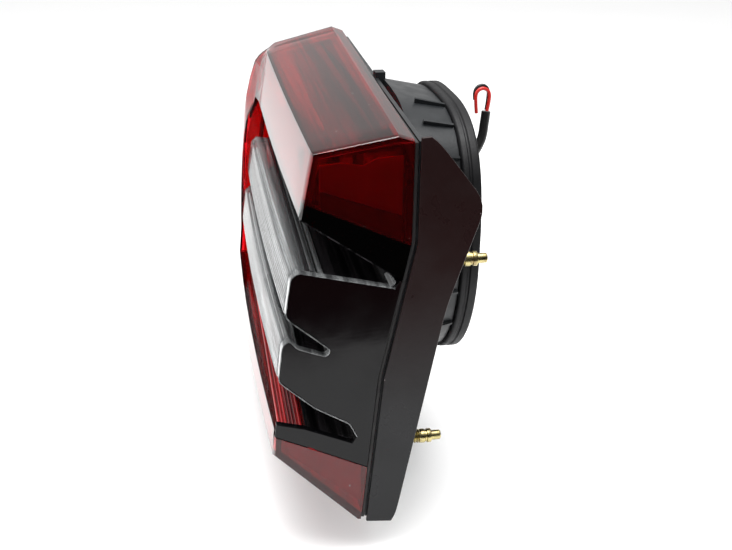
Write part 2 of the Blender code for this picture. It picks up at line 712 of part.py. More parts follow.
def make_bar(name, z_top, z_bottom, back_top, back_bottom, look):
    """One clear bar, bowed like the face."""
    sections = []
    far = SPINE_X + GAP
    near = NEAR_X - END_COVER_THICKNESS - GAP
    steps = 14
    low = z_bottom + BAR_CHAMFER * 0.8
    high = z_top - BAR_CHAMFER
    face = [high - (high - low) * i / 4 for i in range(5)]
    for i in range(steps + 1):
        x = far + (near - far) * i / steps
        outline = [(front_y(z_top) + BAR_DEPTH, back_top), (front_y(z_top, x) + BAR_CHAMFER * 0.9, z_top)]
        outline += [(front_y(z, x), z) for z in face]
        outline += [(front_y(z_bottom, x) + BAR_CHAMFER, z_bottom)]
        outline += [(front_y(z_bottom) + BAR_DEPTH, back_bottom)]
        sections.append([(x, y, z) for y, z in outline])
    return finish(loft(name, sections), look)


def make_strip(look):
    """The red strip on the lower gap's floor."""
    y_front = front_y(FLOOR_Z) + STRIP_SETBACK
    y_rear = strip_rear()
    outline = [
        (y_front, floor_z(y_front) - STRIP_SINK),
        (y_rear, floor_z(y_rear) - STRIP_SINK),
        (y_rear, floor_z(y_rear) - STRIP_THICKNESS),
        (y_front, floor_z(y_front) - STRIP_THICKNESS),
    ]
    strip = side_prism("red_strip", outline, SPINE_X + GAP, NEAR_X - END_COVER_THICKNESS - GAP)
    return finish(strip, look)


def make_insert(look):
    """The faceted reflex insert on the spine's inner wall, at the far end of the upper gap."""
    (end_y, end_z), (step_y, step_z), (bar_y, bar_z) = ridge_line()[:3]
    near_y = step_y - INSERT_AHEAD
    far_y = end_y - INSERT_END_GAP
    gap_slope = (step_z - end_z) / (step_y - end_y)
    ledge_slope = (bar_z - step_z) / (bar_y - step_y)
    near_z = step_z + min(gap_slope, ledge_slope) * (near_y - step_y)
    far_z = end_z + gap_slope * (far_y - end_y)
    slope = (near_z - far_z) / (near_y - far_y)

    def edge(y):
        return (y, far_z + slope * (y - far_y) + 3 * GAP), (y, arm_z(y) - 2 * GAP)

    x_back = SPINE_X + GAP
    x_face = x_back + INSERT_THICKNESS
    (low_a, high_a), (low_b, high_b) = edge(near_y), edge(far_y)
    insert = side_prism("reflex_insert", [low_a, low_b, high_b, high_a], x_back, x_face)
    for column in range(FACET_COLUMNS):
        y_from = near_y + (far_y - near_y) * column / FACET_COLUMNS
        y_to = near_y + (far_y - near_y) * (column + 1) / FACET_COLUMNS
        (low_a, high_a), (low_b, high_b) = edge(y_from), edge(y_to)
        base = offset([low_a, low_b, high_b, high_a], -GAP)
        tip = offset(base, -FACET_BEVEL)
        foot = x_face - 0.2 * MM
        rings = [(foot, base), (x_face + 0.1 * MM, base), (foot + FACET_RELIEF, tip)]
        join(insert, loft("facet", [[(x, *point) for point in ring] for x, ring in rings]))
    return finish(insert, look)


def make_seal(look):
    """The bonding bead between the lens and the housing."""
    z_low = BOTTOM_Z + SEAL_INSET
    z_high = CROWN_Z - SEAL_DROP
    slab = seam_slab(GAP, GAP + SEAL_THICKNESS, z_low, z_high)
    seal = swept_prism("lens_seal", slab, FAR_X + SEAL_INSET, NEAR_X - SEAL_INSET)
    inner = seam_slab(-BEYOND, 2 * BEYOND, z_low + SEAL_WIDTH, z_high - SEAL_WIDTH)
    edge = SEAL_INSET + SEAL_WIDTH
    cut(seal, swept_prism("seal_hole", inner, FAR_X + edge, NEAR_X - edge))
    return finish(seal, look)


# Reflectors ---------------------------------------------------------------------------------

def screw_places():
    """Where the screws hold the two reflectors: (name, x, z)."""
    places = []
    for top in (TOP_Z, LOWER_BAR_TOP):
        for x in (FAR_X + SCREW_FAR_INSET, NEAR_X - SCREW_NEAR_INSET):
            places.append((f"reflector_screw_{len(places) + 1}", x, top - SCREW_DROP))
    return places


def make_reflector(name, line, look):
    """A metallised sheet that follows a line, with holes for the bulbs and the screws in it."""
    far = SPINE_X + REFLECTOR_ENDS[0]
    near = NEAR_X - REFLECTOR_ENDS[1]
    reflector = side_prism(name, ribbon(line, REFLECTOR_THICKNESS), far, near)
    low = min(z for _, z in line)
    high = max(z for _, z in line)
    through = (min(y for y, _ in line) - BEYOND, max(y for y, _ in line) + BEYOND)
    for bulb, x, z, diameter, _ in HOLDERS:
        if low < z < high:
            radius = diameter / 2 + HOLDER_WALL + BULB_HOLE_CLEARANCE
            cut(reflector, rod(bulb + "_hole", radius, *through, x, z))
    for screw, x, z in screw_places():
        if low < z < high:
            cut(reflector, rod(screw + "_hole", SCREW_DIAMETER / 2 + GAP, *through, x, z))
    return finish(reflector, look)


def reflector_plane(z):
    """The front of a reflector's rear wall."""
    return seam_y(z) - REFLECTOR_THICKNESS - REFLECTOR_CLEARANCE


def make_reflectors(look):
    """The upper trough behind the upper arm and the lower one behind the bars."""
    inside = LENS_WALL + REFLECTOR_CLEARANCE
    crown_y = SEAM_TOP_Y - FLANGE_DEPTH
    rise = CROWN_HEIGHT / (crown_y - FRONT_TOP_Y)
    roof_y = FRONT_TOP_Y + REFLECTOR_ROOF_START
    roof_z = TOP_Z + rise * (roof_y - FRONT_TOP_Y) - inside - REFLECTOR_THICKNESS
    corner_y = crown_y + REFLECTOR_CROWN
    corner_z = TOP_Z + rise * (corner_y - FRONT_TOP_Y) - inside - REFLECTOR_THICKNESS - REFLECTOR_CROWN
    rear = reflector_plane(TOP_Z)
    foot_z = arm_z(rear) + (LENS_WALL + REFLECTOR_THICKNESS + REFLECTOR_CLEARANCE) * 1.4
    lip_y = rear - REFLECTOR_LIP
    upper = [
        (roof_y, roof_z),
        (corner_y, corner_z),
        (rear, TOP_Z - REFLECTOR_SHOULDER),
        (rear, foot_z),
        (lip_y, foot_z + REFLECTOR_LIP * arm_slope()),
    ]
    high = ridge_line()[0][1] - 2 * BEZEL_THICKNESS - REFLECTOR_CLEARANCE
    low = floor_z(seam_y(FLOOR_Z)) + REFLECTOR_FOOT
    lower = [(reflector_plane(z), z) for z in seam_heights(high, low)]
    return [make_reflector("upper_reflector", upper, look), make_reflector("lower_reflector", lower, look)]


def make_screws(look):
    """Pan-head screws through the reflectors into the housing's pillars."""
    for name, x, z in screw_places():
        seat = reflector_plane(z) - GAP - SCREW_TILT_ROOM
        profile = [
            (0, seat - SCREW_HEAD_HEIGHT),
            (SCREW_HEAD_DIAMETER * 0.3, seat - SCREW_HEAD_HEIGHT),
            (SCREW_HEAD_DIAMETER / 2, seat - SCREW_HEAD_HEIGHT * 0.4),
            (SCREW_HEAD_DIAMETER / 2, seat),
            (SCREW_DIAMETER / 2, seat),
            (SCREW_DIAMETER / 2, seat + REFLECTOR_THICKNESS + SCREW_BITE),
            (0, seat + REFLECTOR_THICKNESS + SCREW_BITE + SCREW_POINT),
        ]
        finish(turned(name, profile, (x, 0, z), 20), look)


# Housing ------------------------------------------------------------------------------------

def pan_front():
    return GAP * 2 + SEAL_THICKNESS


def pan_rear(z, x=NEAR_X):
    """The pan's rear face."""
    return seam_y(z, x) + pan_front() + PAN_DEPTH


def pan_outline(low, high, rear):
    """The pan seen from the side, from its front edge at the seal to rear behind the seam."""
    front = pan_front()
    outline = seam_slab(front, rear, low, high)
    corner = len(outline) // 2
    outline[corner] = (seam_y(high) + rear, high - PAN_TOP_FALL)
    outline.insert(corner, (seam_y(high) + front + PAN_TOP_DEPTH, high))
    return outline


def stud_places():
    """Where the studs stand: (name, x, z, the rear face of the boss)."""
    places = []
    for x in (FAR_X + STUD_INSET, NEAR_X - STUD_INSET):
        for z, proud in STUD_SEATS:
            places.append((f"mounting_stud_{len(places) + 1}", x, z, pan_rear(z, x) + proud))
    return places


def holder_hole(diameter):
    """Radius of the hole that a bulb holder's socket goes through."""
    return diameter / 2 + HOLDER_WALL + GAP * 2


def pillar(name, x, z, start, end):
    """The plain pillar that a reflector's screw goes into."""
    return rod(name, SCREW_DIAMETER / 2 + BOSS_WALL, start, end, x, z, 20)


def make_housing(look):
    """A shallow pan behind the lens with a drafted bulb chamber, in one moulding."""
    front = pan_front()
    rear = front + PAN_DEPTH
    far = FAR_X + HOUSING_FAR_INSET
    near = NEAR_X - SKIRT_THICKNESS - GAP
    low = BOTTOM_Z + HOUSING_FOOT_INSET
    high = CROWN_Z - HOUSING_TOP_DROP
    wall = HOUSING_WALL
    outline = pan_outline(low, high, rear)
    housing = swept_prism("rear_housing", outline, far, near)
    deep = seam_y(BOTTOM_Z) - BEYOND / 2
    chamber = loft("chamber", [
        chamber_ring(WALL_Y, -CHAMBER_INSET),
        chamber_ring(deep, -CHAMBER_INSET + CHAMBER_DRAFT),
    ])
    ahead = seam_slab(-6 * BEYOND, front + PAN_DEPTH / 2, BOTTOM_Z - 2 * BEYOND, CROWN_Z + 2 * BEYOND)
    cut(chamber, swept_prism("ahead", ahead, FAR_X - BEYOND, NEAR_X + BEYOND))
    join(housing, chamber)
    tab_y = seam_y(TOP_Z, TAB_X) + front + GAP
    tab = block(
        "tab",
        (TAB_X - TAB_WIDTH / 2, tab_y, high - TAB_ROOT),
        (TAB_X + TAB_WIDTH / 2, tab_y + TAB_THICKNESS, high + TAB_HEIGHT),
    )
    join(housing, tab)
    boss_radius = STUD_DIAMETER / 2 + BOSS_WALL
    for name, x, z, seat in stud_places():
        join(housing, rod(name + "_boss", boss_radius, seat - STUD_BITE - BOSS_FLOOR, seat, x, z))
    hollow = loft("hollow", [
        chamber_ring(WALL_Y - wall, -CHAMBER_INSET - wall),
        chamber_ring(deep, -CHAMBER_INSET + CHAMBER_DRAFT - wall),
    ])
    tray = offset(outline, -wall)
    for i in range(len(seam_heights(low, high))):
        tray[i] = (tray[i][0] - 2 * BEYOND, tray[i][1])
    join(hollow, swept_prism("tray", tray, far + wall, near - wall))
    for name, x, z, seat in stud_places():
        cut(hollow, rod(name + "_pillar", boss_radius, seat - STUD_BITE - BOSS_FLOOR, 0, x, z))
    for name, x, z in screw_places():
        start = reflector_plane(z) + REFLECTOR_THICKNESS + GAP + SCREW_TILT_ROOM
        cut(hollow, pillar(name + "_pillar", x, z, start, 0))
        join(housing, pillar(name + "_root", x, z, start, pan_rear(z, x) - 1 * MM))
    cut(housing, hollow)
    for name, x, z, seat in stud_places():
        hole = STUD_DIAMETER / 2 + GAP
        cut(housing, rod(name + "_hole", hole, seat - STUD_BITE - GAP, BEYOND, x, z, 20))
    for name, x, z in screw_places():
        start = reflector_plane(z)
        end = start + REFLECTOR_THICKNESS + SCREW_BITE + SCREW_POINT + 2 * GAP
        cut(housing, rod(name + "_hole", SCREW_DIAMETER / 2 + GAP, start - BEYOND / 2, end, x, z, 20))
    for name, x, z, diameter, _ in HOLDERS:
        radius = holder_hole(diameter)
        opening = rod(name + "_opening", radius, WALL_Y - BEYOND, BEYOND, x, z)
        for turn in range(HOLDER_TABS):
            angle = math.tau * turn / HOLDER_TABS + HOLDER_TWIST
            half = HOLDER_SLOT_WIDTH / 2
            reach = radius + TAB_REACH + GAP
            slot = block("slot", (0, WALL_Y - BEYOND * 0.9, -half), (reach, BEYOND * 0.9, half))
            slot.matrix_world = Matrix.Translation((x, 0, z)) @ Matrix.Rotation(angle, 4, "Y")
            join(opening, slot)
        cut(housing, opening)
    grommet_hole = GROMMET_DIAMETER / 2 - GROMMET_LIP + GAP
    cut(housing, rod("grommet_hole", grommet_hole, WALL_Y - BEYOND, BEYOND, GROMMET_X, GROMMET_Z))
    vent = BREATHER_DIAMETER / 2 - BREATHER_LIP
    cut(housing, rod("vent_hole", vent, WALL_Y - BEYOND, BEYOND, BREATHER_X, BREATHER_Z))
    return finish(housing, look)


def make_gasket(look):
    """The rubber ring that seats on the vehicle's panel."""
    outer = [[(x, y, z) for x, z in gasket_outline()] for y in (-GASKET_THICKNESS, 0)]
    inside = gasket_outline(GASKET_BAND)
    inner = [[(x, y, z) for x, z in inside] for y in (-GASKET_THICKNESS - BEYOND / 2, BEYOND / 2)]
    gasket = loft("rear_gasket", outer)
    cut(gasket, loft("gasket_hole", inner))
    return finish(gasket, look)


def make_skirt(look):
    """The thin plate behind the lens at the lamp's open end, which hides the gap to the body."""
    front = SKIRT_FRONT_GAP
    top = CROWN_Z - SKIRT_TOP_DROP
    foot = BOTTOM_Z - SKIRT_FOOT_DROP
    slope_depth, slope_drop = SKIRT_TOP_SLOPE
    heights = seam_heights(top, foot)
    outline = [(seam_y(z) + front, z) for z in heights]
    rear = [
        (seam_y(foot) + front + SKIRT_FOOT_DEPTH - SKIRT_FOOT_CORNER * 0.67, foot - SKIRT_FOOT_CORNER / 3),
        (seam_y(foot) + front + SKIRT_FOOT_DEPTH, foot + SKIRT_FOOT_CORNER),
        (seam_y(SKIRT_WAIST_Z) + front + SKIRT_WAIST_DEPTH, SKIRT_WAIST_Z),
        (seam_y(SKIRT_SHOULDER_Z) + front + SKIRT_SHOULDER_DEPTH, SKIRT_SHOULDER_Z),
        (seam_y(top) + front + SKIRT_TOP_DEPTH + slope_depth, top - slope_drop),
        (seam_y(top) + front + SKIRT_TOP_DEPTH, top + GAP),
    ]
    outline += softened(rear, SKIRT_ROUNDING)
    skirt = side_prism("end_skirt", outline, NEAR_X - SKIRT_THICKNESS, NEAR_X)
    return finish(skirt, look)


def make_studs(look):
    """Yellow-passivated studs set in the pan's bosses, each with a narrower driving tip."""
    for name, x, z, seat in stud_places():
        root = seat - STUD_BITE
        end = seat + STUD_REACH
        shank = STUD_DIAMETER / 2
        tip = STUD_TIP_DIAMETER / 2
        collar = end - STUD_TIP_LENGTH
        profile = [
            (0, root),
            (shank, root),
            (shank, collar - 3 * MM),
            (shank * STUD_WAIST, collar - 2.6 * MM),
            (shank * STUD_WAIST, collar - 2 * MM),
            (shank, collar - 1.6 * MM),
            (shank, collar),
            (tip, collar + 0.3 * MM),
            (tip, end - 0.4 * MM),
            (tip * 0.8, end),
            (0, end),
        ]
        finish(turned(name, profile, (x, 0, z), 24), look)


# Bulb holders -------------------------------------------------------------------------------

def make_holder(name, x, z, diameter, length, looks):
    """A quarter-turn holder with its seal, contacts and wedge-base bulb, about its own axis."""
    place = (x, 0, z)
    socket = diameter / 2 + HOLDER_WALL
    flange = holder_hole(diameter) + TAB_REACH + HOLDER_FLANGE
    seal_rear = WALL_Y + GAP + HOLDER_SEAL_THICKNESS
    flange_front = seal_rear + GAP
    flange_rear = flange_front + HOLDER_FLANGE_THICKNESS
    mouth = WALL_Y - HOUSING_WALL - HOLDER_SOCKET_DEPTH
    floor = WALL_Y - HOUSING_WALL + SOCKET_FLOOR_SINK
    bore = diameter / 2 - SOCKET_BORE_INSET
    holder = turned(
        "bulb_holder_" + name,
        [
            (0, floor),
            (bore, floor),
            (bore, mouth),
            (socket, mouth),
            (socket, flange_front),
            (flange, flange_front),
            (flange, flange_rear - 0.6 * MM),
            (flange - 0.6 * MM, flange_rear),
            (0, flange_rear),
        ],
        place,
    )
    grip_half = HOLDER_GRIP_WIDTH / 2
    grip = block(
        "grip",
        (-flange + HOLDER_GRIP_INSET, flange_rear - HOLDER_FLANGE_THICKNESS / 2, -grip_half),
        (flange - HOLDER_GRIP_INSET, flange_rear + HOLDER_GRIP_LENGTH, grip_half),
        place,
    )
    join(holder, grip)
    tab_rear = WALL_Y - HOUSING_WALL - GAP * 2
    half = HOLDER_TAB_WIDTH / 2
    for turn in range(HOLDER_TABS):
        angle = math.tau * turn / HOLDER_TABS
        root = socket - HOLDER_WALL / 3
        lug = block("lug", (root, tab_rear - LUG_THICKNESS, -half), (socket + TAB_REACH, tab_rear, half))
        lug.matrix_world = Matrix.Translation(place) @ Matrix.Rotation(angle, 4, "Y")
        join(holder, lug)
    finish(holder, looks["plastic"])

    inner = socket + GAP
    ring = turned("holder_seal_" + name, [
        (0, WALL_Y + GAP),
        (flange - 1 * MM, WALL_Y + GAP),
        (flange - 1 * MM, seal_rear),
        (0, seal_rear),
    ], place)
    cut(ring, rod("seal_bore", inner, WALL_Y - BEYOND, BEYOND, x, z))
    finish(ring, looks["rubber"])

    radius = diameter / 2
    wedge_rear = floor - WEDGE_CLEARANCE
    glass_rear = mouth - GAP
    tip = glass_rear - length
    stem = radius * 0.42
    bulb = turned("bulb_" + name, [
        (0, wedge_rear),
        (stem, wedge_rear),
        (stem, glass_rear),
        (radius * 0.72, glass_rear - 0.5 * MM),
        (radius, glass_rear - 4 * MM),
        (radius, tip + radius * 0.75),
        (radius * 0.86, tip + radius * 0.35),
        (radius * 0.5, tip + radius * 0.08),
        (0, tip),
    ], place)
    finish(bulb, looks["glass"])

    for side, label in ((1, "live"), (-1, "earth")):
        outer = bore - GAP
        inner_edge = outer - CONTACT_THICKNESS
        low = (side * inner_edge, mouth + 1 * MM, -CONTACT_WIDTH / 2)
        high = (side * outer, floor - GAP, CONTACT_WIDTH / 2)
        corners = [(min(a, b), max(a, b)) for a, b in zip(low, high)]
        contact = block(
            f"contact_{name}_{label}",
            tuple(c[0] for c in corners),
            tuple(c[1] for c in corners),
            place,
        )
        finish(contact, looks["brass"])


# Small rear pieces --------------------------------------------------------------------------

def make_grommet(look):
    """The rubber grommet that the pigtail comes through."""
    outer = GROMMET_DIAMETER / 2
    neck = outer - GROMMET_LIP
    rear = WALL_Y + GAP + GROMMET_HEAD
    front = WALL_Y - HOUSING_WALL - GAP - GROMMET_BARB
    grommet = turned("wire_grommet", [
        (0, front),
        (outer - GAP, front),
        (outer, WALL_Y - HOUSING_WALL - GAP),
        (neck, WALL_Y - HOUSING_WALL - GAP),
        (neck, WALL_Y + GAP),
        (outer, WALL_Y + GAP),
        (outer * 0.8, rear - GAP),
        (outer * 0.8, SLEEVE_ROUTE[0][1] - GAP),
        (0, SLEEVE_ROUTE[0][1] - GAP),
    ], (GROMMET_X, 0, GROMMET_Z), 24)
    return finish(grommet, look)


def make_breather(look):
    """The mushroom vent that lets the lamp breathe."""
    radius = BREATHER_DIAMETER / 2
    stem = radius - BREATHER_LIP - GAP
    breather = turned("breather", [
        (0, WALL_Y - HOUSING_WALL - 1 * MM),
        (stem, WALL_Y - HOUSING_WALL - 1 * MM),
        (stem, WALL_Y + GAP),
        (radius, WALL_Y + GAP),
        (radius, WALL_Y + BREATHER_HEIGHT * 0.67),
        (radius * 0.7, WALL_Y + BREATHER_HEIGHT * 0.94),
        (0, WALL_Y + BREATHER_HEIGHT),
    ], (BREATHER_X, 0, BREATHER_Z), 24)
    return finish(breather, look)


def smooth_route(route, spacing):
    """Points along a Catmull-Rom curve through the route's own points."""
    points = [Vector((GROMMET_X + x, y, GROMMET_Z + z)) for x, y, z in route]
    padded = [points[0] * 2 - points[1]] + points + [points[-1] * 2 - points[-2]]
    made = [points[0]]
    for a, b, c, d in zip(padded, padded[1:], padded[2:], padded[3:]):
        count = max(1, round((c - b).length / spacing))
        for step in range(1, count + 1):
            t = step / count
            curve = b * 2 + (c - a) * t + (a * 2 - b * 5 + c * 4 - d) * t ** 2
            curve += (b * 3 - a - c * 3 + d) * t ** 3
            made.append(curve / 2)
    return made


def make_cord(name, route, diameter, look):
    """A tube along a smooth route."""
    curve = bpy.data.curves.new(name, "CURVE")
    curve.dimensions = "3D"
    curve.bevel_depth = diameter / 2
    curve.bevel_resolution = 2
    curve.use_fill_caps = True
    points = smooth_route(route, diameter)
    spline = curve.splines.new("POLY")
    spline.points.add(len(points) - 1)
    for point, place in zip(spline.points, points):
        point.co = (*place, 1)
    curve.materials.append(look)
    cord = bpy.data.objects.new(name, curve)
    bpy.context.scene.collection.objects.link(cord)
    return cord


def main():
    for old in list(bpy.data.objects):
        bpy.data.objects.remove(old)

    red = material("red_lens", (0.30, 0.004, 0.006), 0.08, transmission=0.5)
    clear = material("clear_lens", (0.62, 0.62, 0.64), 0.12, transmission=0.6)
    gloss_black = material("gloss_black", (0.008, 0.008, 0.009), 0.08)
    satin_black = material("satin_black", (0.016, 0.012, 0.012), 0.35)
    housing_grey = material("housing_plastic", (0.035, 0.037, 0.040), 0.48)
    rubber = material("rubber", (0.018, 0.018, 0.019), 0.65)
    chrome = material("metallised", (0.82, 0.82, 0.83), 0.12, metallic=1.0)
    zinc = material("yellow_zinc", (0.62, 0.47, 0.20), 0.32, metallic=1.0)
    steel = material("screw_steel", (0.55, 0.55, 0.56), 0.35, metallic=1.0)
    brass = material("brass", (0.72, 0.55, 0.25), 0.30, metallic=1.0)
    glass = material("bulb_glass", (0.95, 0.95, 0.95), 0.03, transmission=0.95)
    sealant = material("sealant", (0.05, 0.045, 0.045), 0.5)
    wire_red = material("wire_red", (0.45, 0.012, 0.010), 0.4)
    wire_black = material("wire_black", (0.012, 0.012, 0.012), 0.45)

    make_lens(red)
    make_end_cover(gloss_black)
    make_bezel(gloss_black)
    make_bar(
        "clear_bar_upper", UPPER_BAR_TOP, UPPER_BAR_BOTTOM,
        UPPER_BAR_TOP - UPPER_BAR_DROPS[0], UPPER_BAR_BOTTOM - UPPER_BAR_DROPS[1], clear,
    )
    make_bar(
        "clear_bar_lower", LOWER_BAR_TOP, LOWER_BAR_BOTTOM,
        LOWER_BAR_TOP - LOWER_BAR_DROPS[0], LOWER_BAR_BOTTOM - LOWER_BAR_DROPS[1], clear,
    )
    make_strip(red)
    make_insert(red)
    make_seal(sealant)
    make_reflectors(chrome)
    make_screws(steel)
    make_housing(housing_grey)
    make_gasket(rubber)
    make_skirt(satin_black)
    make_studs(zinc)
    looks = {"plastic": gloss_black, "rubber": rubber, "glass": glass, "brass": brass}
    for name, x, z, diameter, length in HOLDERS:
        make_holder(name, x, z, diameter, length, looks)
    make_grommet(rubber)
    make_breather(rubber)
    make_cord("wire_sleeve", SLEEVE_ROUTE, SLEEVE_DIAMETER, wire_black)
    make_cord("wire_red", RED_ROUTE, WIRE_DIAMETER, wire_red)
    make_cord("wire_black", BLACK_ROUTE, WIRE_DIAMETER, wire_black)


main()
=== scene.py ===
"""Looks of the rear lamp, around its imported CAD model.

Everything is in metres in the CAD frame: +X to the open end of the C, -Y to the lit front, +Z up.
"""

import json
import math

import bmesh
import bpy
from mathutils import Matrix, Vector


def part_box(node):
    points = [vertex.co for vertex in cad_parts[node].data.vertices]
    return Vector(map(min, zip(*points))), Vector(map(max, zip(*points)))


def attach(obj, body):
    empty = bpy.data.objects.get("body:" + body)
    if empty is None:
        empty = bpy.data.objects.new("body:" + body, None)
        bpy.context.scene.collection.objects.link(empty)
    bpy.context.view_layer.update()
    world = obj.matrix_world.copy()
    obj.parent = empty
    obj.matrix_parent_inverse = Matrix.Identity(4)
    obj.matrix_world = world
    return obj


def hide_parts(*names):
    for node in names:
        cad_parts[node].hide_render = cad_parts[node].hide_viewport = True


MM = 0.001

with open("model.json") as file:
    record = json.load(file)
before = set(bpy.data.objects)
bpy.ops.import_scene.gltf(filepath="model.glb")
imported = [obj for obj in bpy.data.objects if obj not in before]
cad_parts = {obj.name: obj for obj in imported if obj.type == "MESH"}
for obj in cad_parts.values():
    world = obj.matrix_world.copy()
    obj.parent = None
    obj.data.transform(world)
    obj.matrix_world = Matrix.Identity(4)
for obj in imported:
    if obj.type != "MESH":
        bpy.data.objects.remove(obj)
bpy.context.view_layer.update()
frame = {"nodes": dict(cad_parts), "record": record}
nodes = frame["nodes"]
body_of = {
    node: body
    for body, members in frame["record"]["behaviour"]["bodies"].items()
    for node in members
}
slot_of = {row["node"]: row["material_slot"] for row in frame["record"]["subparts"]}

# Sizes and lines shared with the CAD
NEAR_X = 104 * MM
FAR_X = -104 * MM
SPINE_X = -82 * MM
END_COVER_X = NEAR_X - 3 * MM
TOP_Z = 57.4 * MM
ARM_Z = TOP_Z - 23.7 * MM
BAR_1_TOP = ARM_Z - 20.5 * MM
BAR_1_FOOT = BAR_1_TOP - 19.7 * MM
BAR_2_TOP = BAR_1_FOOT - 7.1 * MM
BAR_2_FOOT = BAR_2_TOP - 19.3 * MM
FLOOR_Z = BAR_2_FOOT - 16.4 * MM
CHIN_Z = FLOOR_Z - 14.2 * MM
FRONT_TOP_Y = -71.2 * MM
FRONT_RAKE = 0.13
FRONT_BOW = 2.2 * MM
PLAN_BOW_TOP = 1.4 * MM
PLAN_BOW_GROWTH = 2.8 * MM  # from the top edge down to the chin
PLAN_BOW_CENTRE = -30 * MM
SEAM_TOP_Y = -35.1 * MM
ARM_DROP = 27.7 * MM
FLOOR_SLOPE = 0.33
BAR_DEPTH = 5.5 * MM
BAR_CHAMFER = 2.5 * MM
UPPER_GAP_DEPTH = 35 * MM
UPPER_STEP_DEPTH = 12.7 * MM
GROOVE_DEPTH = 17.5 * MM
LOWER_GAP_DEPTH = 30.5 * MM
GASKET_CENTRE_X = 17 * MM
GASKET_RADIUS = 58 * MM
GASKET_THICKNESS = 7.7 * MM
GASKET_BAND = 9 * MM
GASKET_TOP_POWER = 3.0
GASKET_FOOT_POWER = 2.05
SLEEVE_DIAMETER = 4 * MM
WIRE_DIAMETER = 1.5 * MM

# Lines across the upper arm's end wall: height at its front edge, and fall for each unit back. The wall is
# seen lit above LIT_BAND and in shade below DARK_BAND; the liners behind it and the red lens's painted shade
# follow these lines.
LIT_BAND = (45.4 * MM, 0.345)
DARK_BAND = (39.6 * MM, 0.45)


def front_y(z, x=NEAR_X):
    """The front face that the bars follow."""
    down = (TOP_Z - z) / (TOP_Z - CHIN_Z)
    across = 1 - ((x - PLAN_BOW_CENTRE) / (NEAR_X - PLAN_BOW_CENTRE)) ** 2
    bow = 4 * FRONT_BOW * down * (1 - down)
    plan_bow = (PLAN_BOW_TOP + PLAN_BOW_GROWTH * down) * across
    return FRONT_TOP_Y - FRONT_RAKE * (TOP_Z - z) - bow - plan_bow


def arm_z(y):
    """The upper arm's underside."""
    edge = front_y(ARM_Z)
    return ARM_Z - ARM_DROP * (y - edge) / (SEAM_TOP_Y - edge)


def floor_z(y):
    """The lower gap's floor."""
    return FLOOR_Z - FLOOR_SLOPE * (y - front_y(FLOOR_Z))


# Node helpers -------------------------------------------------------------------------------

def map_range(tree, value, low, high, to_low, to_high):
    """A smooth ramp of a value from one range to another."""
    node = tree.nodes.new("ShaderNodeMapRange")
    node.interpolation_type = "SMOOTHSTEP"
    for key, number in (("From Min", low), ("From Max", high), ("To Min", to_low), ("To Max", to_high)):
        node.inputs[key].default_value = number
    tree.links.new(value, node.inputs["Value"])
    return node.outputs["Result"]


